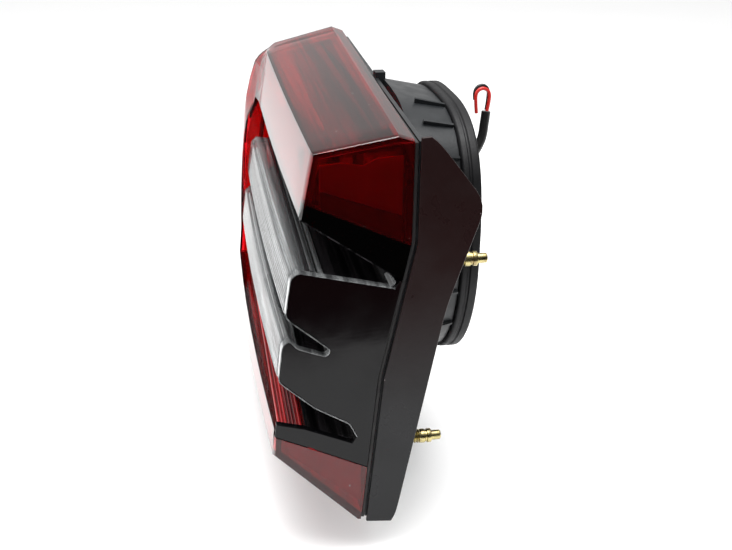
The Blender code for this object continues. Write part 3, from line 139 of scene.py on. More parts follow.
class Look:
    """A procedural Principled material under construction."""

    def __init__(self, name, **values):
        self.material = bpy.data.materials.new(name)
        self.material.use_nodes = True
        self.tree = self.material.node_tree
        self.shader = self.tree.nodes["Principled BSDF"]
        self.place = self.tree.nodes.new("ShaderNodeTexCoord").outputs["Object"]
        self.last_bump = None
        for key, value in values.items():
            socket = self.shader.inputs[key.replace("_", " ")]
            socket.default_value = (*value, 1) if isinstance(value, tuple) else value

    def stretch(self, scale):
        mapping = self.tree.nodes.new("ShaderNodeMapping")
        mapping.inputs["Scale"].default_value = scale
        self.tree.links.new(self.place, mapping.inputs["Vector"])
        return mapping.outputs["Vector"]

    def noise(self, scale, detail=3.0, rough=0.55, twist=0.0):
        """Noise with its own scale, per metre, along each axis."""
        texture = self.tree.nodes.new("ShaderNodeTexNoise")
        texture.inputs["Scale"].default_value = 1
        texture.inputs["Detail"].default_value = detail
        texture.inputs["Roughness"].default_value = rough
        texture.inputs["Distortion"].default_value = twist
        self.tree.links.new(self.stretch(scale), texture.inputs["Vector"])
        return texture.outputs["Fac"]

    def specks(self, scale, size):
        """Small round specks, 1 inside and 0 outside."""
        texture = self.tree.nodes.new("ShaderNodeTexVoronoi")
        texture.inputs["Scale"].default_value = 1
        self.tree.links.new(self.stretch(scale), texture.inputs["Vector"])
        return self.remap(texture.outputs["Distance"], size, size * 0.6, 0, 1)

    def facing(self, name):
        """The surface normal's part along one axis of the object."""
        split = self.tree.nodes.new("ShaderNodeSeparateXYZ")
        normal = self.tree.nodes.new("ShaderNodeTexCoord").outputs["Normal"]
        self.tree.links.new(normal, split.inputs["Vector"])
        return split.outputs[name]

    def axis(self, name):
        split = self.tree.nodes.new("ShaderNodeSeparateXYZ")
        self.tree.links.new(self.place, split.inputs["Vector"])
        return split.outputs[name]

    def along(self, direction):
        """How far a point is along a direction, in metres."""
        dot = self.tree.nodes.new("ShaderNodeVectorMath")
        dot.operation = "DOT_PRODUCT"
        dot.inputs[1].default_value = direction
        self.tree.links.new(self.place, dot.inputs[0])
        return dot.outputs["Value"]

    def remap(self, value, low, high, to_low, to_high):
        return map_range(self.tree, value, low, high, to_low, to_high)

    def blend(self, factor, first, second):
        """A colour between two others, each a colour or an earlier result."""
        mix = self.tree.nodes.new("ShaderNodeMix")
        mix.data_type = "RGBA"
        for socket, value in ((mix.inputs[6], first), (mix.inputs[7], second)):
            if isinstance(value, tuple):
                socket.default_value = (*value, 1)
            else:
                self.tree.links.new(value, socket)
        self.tree.links.new(factor, mix.inputs[0])
        return mix.outputs[2]

    def product(self, first, *others):
        for other in others:
            node = self.tree.nodes.new("ShaderNodeMath")
            node.operation = "MULTIPLY"
            self.tree.links.new(first, node.inputs[0])
            self.tree.links.new(other, node.inputs[1])
            first = node.outputs[0]
        return first

    def colour(self, value):
        self.tree.links.new(value, self.shader.inputs["Base Color"])
        return self

    def roughness(self, value):
        self.tree.links.new(value, self.shader.inputs["Roughness"])
        return self

    def bump(self, height, depth, strength=1.0):
        """Adds a relief of the given depth in metres."""
        node = self.tree.nodes.new("ShaderNodeBump")
        node.inputs["Distance"].default_value = depth
        node.inputs["Strength"].default_value = strength
        self.tree.links.new(height, node.inputs["Height"])
        if self.last_bump:
            self.tree.links.new(self.last_bump, node.inputs["Normal"])
        self.last_bump = node.outputs["Normal"]
        self.tree.links.new(self.last_bump, self.shader.inputs["Normal"])
        return self


def plain_plastic(name, dark, light, rough, grain, grain_depth, specular):
    """A moulded plastic or rubber: mottled colour, uneven gloss and a fine grain."""
    look = Look(name, Specular_IOR_Level=specular)
    mottle = look.noise((70, 70, 70), 4)
    look.colour(look.blend(mottle, dark, light))
    look.roughness(look.remap(look.noise((140, 140, 140), 3), 0.3, 0.7, rough - 0.06, rough + 0.06))
    return look.bump(look.noise((grain, grain, grain), 2), grain_depth)


def metal(name, dark, light, rough, brushed):
    """A metal with turning or rolling marks."""
    look = Look(name, Metallic=1.0)
    look.colour(look.blend(look.noise((160, 160, 160), 4), dark, light))
    look.roughness(look.remap(look.noise((300, 300, 300), 3), 0.3, 0.7, rough - 0.08, rough + 0.08))
    return look.bump(look.noise(brushed, 3), 0.00003)


def make_looks():
    looks = {}

    red = Look("red_acrylic", Transmission_Weight=0.97, IOR=1.49)
    # Painted light: up-facing faces get light and dark lengthwise streaks for the lit flutes seen under the
    # top wall; the other faces get a plain tint.
    streak = red.remap(red.noise((4, 150, 150), 4, 0.6), 0.42, 0.60, 0, 1)
    facing_up = red.remap(red.facing("Z"), 0.5, 0.8, 0, 1)
    plain = red.blend(red.noise((30, 30, 30)), (0.46, 0.003, 0.006), (0.56, 0.005, 0.009))
    painted_top_streaks = red.blend(streak, (0.20, 0.012, 0.012), (0.66, 0.006, 0.010))
    tint = red.blend(facing_up, plain, painted_top_streaks)
    tint = red.blend(red.specks((95, 95, 95), 0.045), tint, (0.85, 0.7, 0.68))
    # Painted shade: at the open end, the wall below DARK_BAND is painted near black for the shade inside the
    # upper arm.
    band_z, band_fall = DARK_BAND
    shaded = band_z + band_fall * front_y(ARM_Z)
    soft = 0.15 * MM
    below = red.remap(red.along((0, band_fall, 1)), shaded - soft, shaded + soft, 1, 0)
    above_floor = red.remap(red.axis("Z"), -30 * MM, -29 * MM, 0, 1)
    at_end = red.remap(red.axis("X"), NEAR_X - 3.6 * MM, NEAR_X - 3.0 * MM, 0, 1)
    shade = red.product(at_end, below, above_floor)
    red.colour(red.blend(shade, tint, (0.006, 0.0012, 0.0012)))
    red.roughness(red.remap(red.noise((60, 60, 60), 3), 0.35, 0.75, 0.02, 0.06))
    red.bump(red.noise((6, 420, 420), 2), 0.00002, 0.5)
    looks["red_lens"] = red

    clear = Look("clear_acrylic", Transmission_Weight=0.70, IOR=1.49)
    band = clear.noise((5, 300, 300), 3)
    clear.colour(clear.blend(
        clear.remap(band, 0.35, 0.65, 0, 1), (0.16, 0.165, 0.17), (0.56, 0.58, 0.585),
    ))
    clear.roughness(clear.remap(clear.noise((60, 60, 60), 3), 0.35, 0.75, 0.05, 0.13))
    clear.bump(clear.noise((8, 600, 600), 2), 0.00002, 0.5)
    looks["clear_lens"] = clear

    gloss = Look("gloss_black", Specular_IOR_Level=0.22)
    # Painted reflection: reddish black towards the top for the red lens above, a plainer grey-black lower
    # down for the floor.
    rise = gloss.remap(gloss.axis("Z"), -0.04, 0.02, 0, 1)
    gloss.colour(gloss.blend(rise, (0.0025, 0.0025, 0.003), (0.0035, 0.0012, 0.0014)))
    gloss.roughness(gloss.remap(gloss.noise((45, 45, 45), 4), 0.35, 0.75, 0.09, 0.20))
    gloss.bump(gloss.noise((30, 30, 30), 2, 0.5, 1.2), 0.00012, 0.5)
    gloss.bump(gloss.noise((900, 40, 220), 2, 0.6, 2.0), 0.000012, 0.6)
    looks["gloss_black"] = gloss

    bezel = Look("bezel_black")
    lines = bezel.noise((6, 380, 380), 3)
    bezel.colour(bezel.blend(
        bezel.remap(lines, 0.4, 0.65, 0, 1), (0.003, 0.003, 0.0035), (0.022, 0.020, 0.022),
    ))
    bezel.roughness(bezel.remap(lines, 0.3, 0.7, 0.10, 0.26))
    bezel.bump(lines, 0.00006)
    looks["bezel_black"] = bezel

    strip = Look("ribbed_red", Coat_Weight=0.6, Coat_Roughness=0.04)
    glow = strip.noise((8, 300, 300), 3)
    strip.colour(strip.blend(
        strip.remap(glow, 0.35, 0.65, 0, 1), (0.16, 0.002, 0.004), (0.62, 0.008, 0.012),
    ))
    strip.roughness(strip.remap(strip.noise((90, 90, 90)), 0.3, 0.7, 0.10, 0.24))
    strip.bump(glow, 0.00004)
    looks["red_strip"] = strip

    reflex = Look("red_reflex", Coat_Weight=0.8, Coat_Roughness=0.03)
    facet = reflex.noise((210, 210, 210), 2, 0.4)
    reflex.colour(reflex.blend(
        reflex.remap(facet, 0.38, 0.6, 0, 1), (0.34, 0.004, 0.008), (0.85, 0.05, 0.07),
    ))
    reflex.roughness(reflex.remap(facet, 0.3, 0.7, 0.06, 0.2))
    reflex.bump(facet, 0.0003)
    looks["red_reflex"] = reflex

    mirror = Look("metallised", Metallic=1.0)
    flute = mirror.noise((5, 150, 150), 4)
    mirror.colour(mirror.blend(
        mirror.remap(flute, 0.40, 0.6, 0, 1), (0.16, 0.14, 0.14), (0.80, 0.78, 0.78),
    ))
    mirror.roughness(mirror.remap(mirror.noise((80, 80, 80)), 0.3, 0.7, 0.12, 0.26))
    looks["metallised"] = mirror.bump(flute, 0.0002)

    # name: dark colour, light colour, roughness, grain per metre, grain depth, specular level
    plastics = {
        "sealant": ((0.003, 0.003, 0.003), (0.010, 0.008, 0.008), 0.60, 500, 0.00008, 0.5),
        "housing_plastic": ((0.007, 0.008, 0.009), (0.016, 0.018, 0.020), 0.36, 900, 0.00004, 0.4),
        "gasket_rubber": ((0.003, 0.003, 0.0035), (0.008, 0.008, 0.009), 0.50, 1100, 0.00006, 0.25),
        "soft_rubber": ((0.010, 0.010, 0.011), (0.022, 0.022, 0.023), 0.55, 1000, 0.00005, 0.5),
        "holder_plastic": ((0.014, 0.014, 0.015), (0.030, 0.030, 0.031), 0.42, 800, 0.00004, 0.5),
        "sleeve_vinyl": ((0.006, 0.006, 0.006), (0.014, 0.014, 0.014), 0.38, 700, 0.00003, 0.5),
        "red_vinyl": ((0.36, 0.010, 0.008), (0.62, 0.022, 0.014), 0.34, 700, 0.00003, 0.5),
    }
    for name, values in plastics.items():
        looks[name] = plain_plastic(name, *values)

    skirt = Look("skirt_satin", Specular_IOR_Level=0.24)
    # Painted reflection: grey-black lower down for the floor, brownish red higher up for the red lens.
    fade = skirt.remap(skirt.axis("Z"), -0.06, 0.02, 0, 1)
    painted_reflection_tint = skirt.blend(fade, (0.010, 0.010, 0.011), (0.013, 0.0045, 0.0045))
    skirt.colour(skirt.blend(skirt.specks((130, 130, 130), 0.04), painted_reflection_tint, (0.16, 0.13, 0.13)))
    skirt.roughness(skirt.remap(skirt.noise((50, 50, 50), 4), 0.3, 0.7, 0.26, 0.38))
    skirt.bump(skirt.noise((700, 700, 700), 2), 0.00003)
    skirt.bump(skirt.noise((600, 30, 160), 2, 0.6, 2.5), 0.00002, 0.5)
    looks["skirt_plastic"] = skirt

    looks["screw_steel"] = metal("screw_steel", (0.30, 0.30, 0.31), (0.62, 0.62, 0.63), 0.32, (500, 900, 500))
    looks["contact_brass"] = metal(
        "contact_brass", (0.48, 0.34, 0.13), (0.78, 0.60, 0.28), 0.30, (900, 300, 900),
    )
    zinc = metal("yellow_zinc", (0.50, 0.36, 0.13), (0.80, 0.66, 0.34), 0.30, (500, 1200, 500))
    film = zinc.noise((240, 240, 240), 3, 0.6, 1.0)
    zinc.colour(zinc.blend(zinc.remap(film, 0.45, 0.7, 0, 1), (0.50, 0.43, 0.20), (0.32, 0.24, 0.13)))
    looks["yellow_zinc"] = zinc

    glass = Look("bulb_glass", Transmission_Weight=1.0, IOR=1.45)
    glass.colour(glass.blend(glass.noise((80, 80, 80)), (0.90, 0.90, 0.90), (1.0, 1.0, 1.0)))
    glass.roughness(glass.remap(glass.noise((120, 120, 120)), 0.3, 0.7, 0.01, 0.04))
    looks["bulb_glass"] = glass

    # liner_grey and liner_dark are one material in a lit and a shaded copy; behind the upper arm's end wall
    # they give its lit band and its painted shade.
    baffle = Look("liner_grey")
    baffle.colour(baffle.blend(baffle.noise((5, 60, 60), 4), (0.30, 0.26, 0.26), (0.62, 0.55, 0.55)))
    baffle.roughness(baffle.remap(baffle.noise((90, 90, 90)), 0.3, 0.7, 0.3, 0.5))
    looks["liner"] = baffle.bump(baffle.noise((10, 250, 250)), 0.0001)
    dark = Look("liner_dark")
    dark.colour(dark.blend(dark.noise((5, 120, 120), 4), (0.008, 0.006, 0.006), (0.045, 0.030, 0.030)))
    dark.roughness(dark.remap(dark.noise((90, 90, 90)), 0.3, 0.7, 0.3, 0.5))
    looks["liner_dark"] = dark.bump(dark.noise((10, 250, 250)), 0.0001)
    return {name: look.material for name, look in looks.items()}


# Mesh helpers -------------------------------------------------------------------------------

def add_piece(name, mesh_data, look, body="lamp", node=None, smooth=35):
    """Turns a bmesh into a finished piece that rides on its body."""
    bmesh.ops.recalc_face_normals(mesh_data, faces=mesh_data.faces)
    limit = math.radians(smooth)
    for face in mesh_data.faces:
        face.smooth = True
    for edge in mesh_data.edges:
        edge.smooth = len(edge.link_faces) == 2 and edge.calc_face_angle(0) < limit
    mesh = bpy.data.meshes.new(name)
    mesh_data.to_mesh(mesh)
    mesh_data.free()
    mesh.materials.append(looks[look])
    piece = bpy.data.objects.new(name, mesh)
    bpy.context.scene.collection.objects.link(piece)
    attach(piece, body)
    if node:
        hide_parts(node)
    return piece


def round_edges(mesh_data, width, segments=3, sharp=24):
    """Rounds every edge that is sharper than the given angle."""
    limit = math.radians(sharp)
    edges = [e for e in mesh_data.edges if len(e.link_faces) == 2 and e.calc_face_angle(0) > limit]
    bmesh.ops.bevel(
        mesh_data, geom=edges, offset=width, segments=segments, profile=0.5,
        affect="EDGES", clamp_overlap=True,
    )


def clean_copy(node):
    """A CAD node's mesh without the edges inside its flat faces."""
    mesh_data = bmesh.new()
    mesh_data.from_mesh(nodes[node].data)
    bmesh.ops.remove_doubles(mesh_data, verts=mesh_data.verts, dist=0.000004)
    bmesh.ops.dissolve_limit(
        mesh_data, angle_limit=math.radians(0.4), verts=mesh_data.verts, edges=mesh_data.edges,
    )
    return mesh_data


def refine(node, width, segments=3, shape=None):
    """A finished copy of a CAD node: clean faces and rounded edges."""
    mesh_data = clean_copy(node)
    if shape:
        shape(mesh_data)  # an extra change of form before the edges are rounded
    round_edges(mesh_data, width, segments)
    slot = slot_of[node]
    piece = add_piece(node + "_finish", mesh_data, slot, body_of[node], node)
    weighted = piece.modifiers.new("weighted_normals", "WEIGHTED_NORMAL")
    weighted.keep_sharp = True
    return piece


def loft_rings(rings):
    """A solid skin through rings of points, with flat ends."""
    mesh_data = bmesh.new()
    made = [[mesh_data.verts.new(point) for point in ring] for ring in rings]
    count = len(made[0])
    for lower, upper in zip(made, made[1:]):
        for i in range(count):
            j = (i + 1) % count
            mesh_data.faces.new((lower[i], lower[j], upper[j], upper[i]))
    mesh_data.faces.new(made[0][::-1])
    mesh_data.faces.new(made[-1])
    return mesh_data


def strip_outline(line, thickness):
    """A closed outline that follows a line of (y, z) points, thickened on its left side."""
    far_side = []
    for i, point in enumerate(line):
        here = Vector(point)
        before = (here - Vector(line[i - 1])).normalized() if i else None
        after = (Vector(line[i + 1]) - here).normalized() if i < len(line) - 1 else None
        before = before or after
        after = after or before
        first = Vector((-before.y, before.x))
        second = Vector((-after.y, after.x))
        corner = (first + second) / max(1 + first.dot(second), 0.5)
        far_side.append(tuple(here + corner * thickness))
    return list(line) + far_side[::-1]


def softened(line, reach, steps=4):
    """A line whose inner corners are rounded over reach to each side of them."""
    made = [line[0]]
    for before, corner, after in zip(line, line[1:], line[2:]):
        here = Vector(corner)
        ahead = Vector(after) - here
        back = Vector(before) - here
        start = here + back.normalized() * min(reach, back.length * 0.45)
        end = here + ahead.normalized() * min(reach, ahead.length * 0.45)
        for i in range(steps + 1):
            t = i / steps
            made.append(tuple(start * (1 - t) ** 2 + here * 2 * t * (1 - t) + end * t ** 2))
    return made + [line[-1]]


def along_x(outline, stations):
    """Rings of one (y, z) outline at each x."""
    return [[(x, y, z) for y, z in outline] for x in stations]


def spaced(start, end, count):
    return [start + (end - start) * i / count for i in range(count + 1)]


# Front --------------------------------------------------------------------------------------

def round_far_corner(mesh_data):
    """Rounds the lens's top front edge more and more towards the far end."""
    reach = 34 * MM  # along X
    below = 14 * MM  # how far down the cuts go
    width = 11 * MM  # of the rounding, to each side of the edge
    most = 3.4 * MM  # how far the edge is pressed in at the far end
    end_rounding = 4.5 * MM  # of the far end, which the edge already follows
    end_share = 0.8
    edge_rise = 0.2 * MM

    def depth(x):
        t = min(max((x - FAR_X) / reach, 0), 1)
        return most * (1 - t * t * (3 - 2 * t))

    def near_corner(face):
        low_x = min(v.co.x for v in face.verts)
        high_z = max(v.co.z for v in face.verts)
        return low_x < FAR_X + reach and high_z > TOP_Z - below

    def cut_across(place, normal):
        faces = [f for f in mesh_data.faces if near_corner(f)]
        parts = set(faces)
        for face in faces:
            parts.update(face.edges)
            parts.update(face.verts)
        bmesh.ops.bisect_plane(mesh_data, geom=list(parts), dist=0.000002, plane_co=place, plane_no=normal)

    for step in (5, 8, 11, 14, 17, 20, 23, 26, 30, 34):
        cut_across((FAR_X + step * MM, 0, 0), (1, 0, 0))
    for step in (0.7, 1.5, 2.5, 4, 5.5, 7.5, 10):
        cut_across((0, FRONT_TOP_Y + step * MM, 0), (0, 1, 0.1))
        cut_across((0, 0, TOP_Z - step * MM), (0, -0.1, 1))
    for vert in mesh_data.verts:
        x, y, z = vert.co
        inset = max(0, end_rounding - (x - FAR_X)) * end_share
        corner = Vector((front_y(TOP_Z, x) + inset, TOP_Z - inset + edge_rise))
        away = (Vector((y, z)) - corner).length / width
        if away < 1:
            press = depth(x) * (1 - away) ** 2 * 0.707
            vert.co.y += press
            vert.co.z -= press


def fluted(points, flutes, depth):
    """Runs a wave of flutes along a line of two (y, z) points, pressed in from the left side."""
    (y0, z0), (y1, z1) = points
    length = math.hypot(y1 - y0, z1 - z0)
    normal = (-(z1 - z0) / length, (y1 - y0) / length)
    steps = flutes * 6
    made = []
    for i in range(steps + 1):
        t = i / steps
        press = depth * (1 - abs(math.sin(math.pi * flutes * t)))
        made.append((y0 + (y1 - y0) * t + normal[0] * press, z0 + (z1 - z0) * t + normal[1] * press))
    return made


def make_bar(node, z_top, z_foot, back_top, back_foot):
    """A clear bar whose face and chamfer are finely fluted along its length."""
    rings = []
    far = SPINE_X + 0.4 * MM
    near = END_COVER_X - 0.35 * MM
    stations = [(far, 0.9), (far + 0.5 * MM, 0.35), (far + 1.6 * MM, 0.0)]
    stations += [(x, 0.0) for x in spaced(far + 4 * MM, near - 4 * MM, 34)]
    stations += [(near - 1.6 * MM, 0.0), (near - 0.5 * MM, 0.35), (near, 0.9)]
    high = z_top - BAR_CHAMFER
    low = z_foot + 2 * MM
    for x, tuck in stations:
        shrink = tuck * MM
        top = (front_y(z_top, x) + 2.4 * MM, z_top - shrink)
        corner = (front_y(high, x) + shrink, high)
        foot = (front_y(low, x) + shrink, low)
        heel = (front_y(z_foot, x) + BAR_CHAMFER, z_foot + shrink)
        ring = [(front_y(z_top) + BAR_DEPTH, back_top - shrink)]
        ring += fluted((top, corner), 2, 0.28 * MM)
        ring += fluted((corner, foot), 9, 0.34 * MM)[1:]
        ring += [heel, (front_y(z_foot) + BAR_DEPTH, back_foot + shrink)]
        rings.append([(x, y, z) for y, z in ring])
    return add_piece(node + "_fluted", loft_rings(rings), "clear_lens", "lamp", node, 60)


def make_ledge():
    """Clear ribs that run along the ledge behind the upper bar."""
    start = Vector((front_y(BAR_1_TOP) + 12.2 * MM, BAR_1_TOP - 2.2 * MM))
    end = Vector((front_y(BAR_1_TOP) + BAR_DEPTH + 1 * MM, BAR_1_TOP - 0.5 * MM))
    count = 2
    for i in range(count):
        a = start + (end - start) * (i / count)
        b = start + (end - start) * ((i + 0.72) / count)
        rise = 0.7 * MM
        outline = [
            (a.x, a.y - 0.1 * MM),
            (a.x - 0.3 * MM, a.y + rise * 0.7),
            ((a.x + b.x) / 2, (a.y + b.y) / 2 + rise),
            (b.x + 0.3 * MM, b.y + rise * 0.7),
            (b.x, b.y - 0.1 * MM),
        ]
        mesh_data = loft_rings(along_x(outline, spaced(SPINE_X + 1 * MM, END_COVER_X - 0.5 * MM, 12)))
        round_edges(mesh_data, 0.15 * MM, 2)
        add_piece(f"ledge_rib_{i + 1}", mesh_data, "clear_lens")


def make_pocket():
    """The black sheet under the upper arm and the clear fillet at the upper gap's rear end."""
    edge = front_y(ARM_Z)
    gap_end = edge + UPPER_GAP_DEPTH
    start = edge + 0.5 * MM
    clearance = 0.1 * MM
    line = [(start, arm_z(start) - clearance), (gap_end, arm_z(gap_end) - clearance)]
    stations = spaced(SPINE_X + 1.2 * MM, NEAR_X - 0.4 * MM, 12)
    mesh_data = loft_rings(along_x(strip_outline(line, -0.5 * MM), stations))
    round_edges(mesh_data, 0.1 * MM, 2)
    add_piece("arm_underside_sheet", mesh_data, "bezel_black")
    top = (gap_end - 1.2 * MM, arm_z(gap_end - 1.2 * MM) - 1.0 * MM)
    foot = (gap_end - 1.6 * MM, arm_z(gap_end) - 4.4 * MM)
    line = softened([top, (gap_end + 0.6 * MM, arm_z(gap_end) - 2.4 * MM), foot], 2.4 * MM, 8)
    stations = spaced(END_COVER_X - 9 * MM, NEAR_X, 6)
    mesh_data = loft_rings(along_x(strip_outline(line, -0.45 * MM), stations))
    round_edges(mesh_data, 0.12 * MM, 2, 50)
    add_piece("gap_end_fillet", mesh_data, "clear_lens")


def make_red_strip():
    """The ribbed red strip on the lower gap's floor."""
    low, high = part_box("red_strip")
    y_front = low[1]
    y_rear = high[1]
    ribs = 7
    outline = [(y_front, floor_z(y_front) - 2 * MM)]
    for i in range(ribs * 6 + 1):
        y = y_front + (y_rear - y_front) * i / (ribs * 6)
        dip = 0.6 * MM * (1 - abs(math.sin(math.pi * i / 6)))
        outline.append((y, floor_z(y) - 0.2 * MM - dip))
    outline.append((y_rear, floor_z(y_rear) - 2 * MM))
    mesh_data = loft_rings(along_x(outline, spaced(low[0], high[0], 24)))
    add_piece("red_strip_ribbed", mesh_data, "red_strip", "lamp", "red_strip", 60)


def bar_line(z_top, z_foot, drop):
    """The open end's edge round one bar."""
    lip = 0.3 * MM
    return [
        (front_y(z_top) + BAR_DEPTH, z_top - drop),
        (front_y(z_top) + BAR_CHAMFER, z_top - lip),
        (front_y(z_top - BAR_CHAMFER) + lip, z_top - BAR_CHAMFER),
        (front_y(z_foot + BAR_CHAMFER) + lip, z_foot + BAR_CHAMFER),
        (front_y(z_foot) + BAR_CHAMFER, z_foot + lip),
    ]


def make_rim():
    """The thin clear lip of the lens round the bars' and gaps' open ends."""
    groove_y = front_y(BAR_1_FOOT) + GROOVE_DEPTH
    low_y = front_y(BAR_2_FOOT) + LOWER_GAP_DEPTH
    gap_end = front_y(ARM_Z) + UPPER_GAP_DEPTH
    step_y = front_y(BAR_1_TOP) + UPPER_STEP_DEPTH
    line = [
        (gap_end, arm_z(gap_end) - 5.0 * MM),
        (step_y, BAR_1_TOP - 2.6 * MM),
        *bar_line(BAR_1_TOP, BAR_1_FOOT, 1 * MM),
        (groove_y, BAR_2_TOP - 5.2 * MM),
        (groove_y - 1.9 * MM, BAR_2_TOP - 8 * MM),
        *bar_line(BAR_2_TOP, BAR_2_FOOT, 4 * MM),
        (low_y - 16.3 * MM, BAR_2_FOOT - 10.2 * MM),
        (low_y - 2.8 * MM, BAR_2_FOOT - 18.3 * MM),
        (low_y, floor_z(low_y) + 2.6 * MM),
    ]
    outline = strip_outline(softened(line, 1.6 * MM), -0.32 * MM)
    stations = (END_COVER_X - 0.2 * MM, NEAR_X - 1 * MM, NEAR_X + 0.35 * MM)
    mesh_data = loft_rings(along_x(outline, stations))
    round_edges(mesh_data, 0.12 * MM, 2, 50)
    add_piece("lens_rim", mesh_data, "clear_lens")


def make_liners():
    """Sheets inside the red lens, which its walls at the open end are seen against. Behind the upper arm's
    end wall, a grey sheet above LIT_BAND is painted light, a dark sheet between the bands is painted shade,
    and the black sheet below stands for the black inside, in shade.
    """
    edge = front_y(ARM_Z)
    rear = -38.5 * MM

    def band(line, y, shift=0.0):
        """The height of a band's line at y, moved up by shift."""
        height, fall = line
        return height + shift - fall * (y - edge)

    front = edge + 7.5 * MM
    crown = TOP_Z - 4.5 * MM
    panels = {
        # Painted light: a grey sheet for the reflector where the end wall is seen lit.
        "arm_lit_sheet": ([
            (front, band(LIT_BAND, front)),
            (rear, band(LIT_BAND, rear)),
            (rear, crown + 1.5 * MM),
            (rear - 9 * MM, crown + 1.0 * MM),
            (rear - 14 * MM, crown - 1.6 * MM),
            (rear - 22 * MM, crown - 0.4 * MM),
            (front, crown - 1 * MM),
        ], "liner", "metallised"),
        # Painted shade: a dark sheet between LIT_BAND and DARK_BAND where the end wall is seen in shade.
        "arm_shade_sheet": ([
            (front, band(LIT_BAND, front, -0.3 * MM)),
            (front, band(DARK_BAND, front, 0.1 * MM)),
            (rear, band(DARK_BAND, rear, 0.1 * MM)),
            (rear, band(LIT_BAND, rear, -0.3 * MM)),
        ], "liner_dark", "bezel_black"),
        # A black sheet, partly the black inside of the arm and partly painted shade below DARK_BAND.
        "arm_liner_lower": ([
            (edge + 2.8 * MM, ARM_Z + 5.8 * MM),
            (edge + 2.8 * MM, ARM_Z + 1.4 * MM),
            (rear, arm_z(rear) + 3.3 * MM),
            (rear, band(DARK_BAND, rear, -0.2 * MM)),
            (front, band(DARK_BAND, front, -0.2 * MM)),
        ], "bezel_black", "bezel_black"),
        "chin_liner": ([
            (front_y(FLOOR_Z) + 3.6 * MM, FLOOR_Z - 9 * MM),
            (front_y(FLOOR_Z) + 20 * MM, FLOOR_Z - 15 * MM),
            (front_y(FLOOR_Z) + 34 * MM, FLOOR_Z - 23 * MM),
            (front_y(FLOOR_Z) + 34 * MM, FLOOR_Z - 40 * MM),
            (front_y(FLOOR_Z) + 5 * MM, FLOOR_Z - 15 * MM),
        ], "liner", "metallised"),
    }
    line = [(front_y(z) + 3.4 * MM, z) for z in spaced(TOP_Z - 9 * MM, CHIN_Z + 6 * MM, 14)]
    spine = loft_rings(along_x(strip_outline(line, 0.8 * MM), (FAR_X + 6 * MM, SPINE_X - 3.2 * MM)))
    add_piece("spine_liner", spine, "liner_dark")
    for name, (outline, look, slot) in panels.items():
        mesh_data = loft_rings(along_x(outline, (NEAR_X - 4.4 * MM, NEAR_X - 3.2 * MM)))
        round_edges(mesh_data, 0.25 * MM, 2)
        add_piece(name, mesh_data, look)


# Rear ---------------------------------------------------------------------------------------

def ring_outline(inset):
    """The gasket's outline, as (x, z) points."""
    points = []
    for i in range(120):
        angle = math.tau * i / 120
        power = 2 / (GASKET_TOP_POWER if math.sin(angle) >= 0 else GASKET_FOOT_POWER)
        x = math.copysign(abs(math.cos(angle)) ** power, math.cos(angle))
        z = math.copysign(abs(math.sin(angle)) ** power, math.sin(angle))
        points.append((GASKET_CENTRE_X + x * (GASKET_RADIUS - inset), z * (GASKET_RADIUS - inset)))
    return points


def make_gasket():
    """A moulded ring with rounded corners and two sealing beads on its rear face."""
    corner = 1.2 * MM
    profile = []
    for step in range(7):
        angle = math.pi / 2 * step / 6
        profile.append((
            corner * (1 - math.sin(angle)),
            -GASKET_THICKNESS + corner * (1 - math.cos(angle)),
        ))
    profile += [(0, -5.2 * MM), (0.5 * MM, -4.7 * MM), (0.5 * MM, -4.1 * MM), (0, -3.6 * MM)]
    for step in range(7):
        angle = math.pi / 2 * step / 6
        profile.append((corner * (1 - math.cos(angle)), -corner + 1.0 * MM * math.sin(angle)))
    for bead in (2.6 * MM, 6.2 * MM):
        profile += [(bead - 0.7 * MM, -0.2 * MM), (bead, 0.0), (bead + 0.7 * MM, -0.2 * MM)]
    profile += [
        (GASKET_BAND - 0.4 * MM, -0.3 * MM),
        (GASKET_BAND, -0.9 * MM),
        (GASKET_BAND, -GASKET_THICKNESS + 0.5 * MM),
        (GASKET_BAND - 0.5 * MM, -GASKET_THICKNESS),
    ]
    mesh_data = bmesh.new()
    loops = []
    for inset, y in profile:
        loops.append([mesh_data.verts.new((x, y, z)) for x, z in ring_outline(inset)])
    for a, b in zip(loops, loops[1:] + loops[:1]):
        for i in range(len(a)):
            j = (i + 1) % len(a)
            mesh_data.faces.new((a[i], a[j], b[j], b[i]))
    add_piece("rear_gasket_ring", mesh_data, "gasket_rubber", "lamp", "rear_gasket")


def make_chamber_ribs():
    """Ribs moulded on the chamber's outside."""
    for index, place in enumerate((5, 13, 20, 26, 110, 116, 44, 52, 66, 76, 88, 100)):
        points = []
        for y in (-21 * MM, -8.2 * MM):
            grow = 9 * MM * (-8 * MM - y) / (42 * MM)
            x, z = ring_outline(1.6 * MM - grow)[place]
            points.append(Vector((x, y, z)))
        outward = Vector((points[1].x - GASKET_CENTRE_X, 0, points[1].z)).normalized()
        side = outward.cross(Vector((0, 1, 0))) * 0.7 * MM
        rings = []
        for point, tall in ((points[0], 1.5 * MM), (points[1], 1.3 * MM)):
            root = point - outward * 0.6 * MM
            tip = point + outward * tall
            rings.append([root - side, tip - side * 0.7, tip + side * 0.7, root + side])
        mesh_data = loft_rings(rings)
        round_edges(mesh_data, 0.25 * MM, 2)
        add_piece(f"chamber_rib_{index + 1}", mesh_data, "housing_plastic")


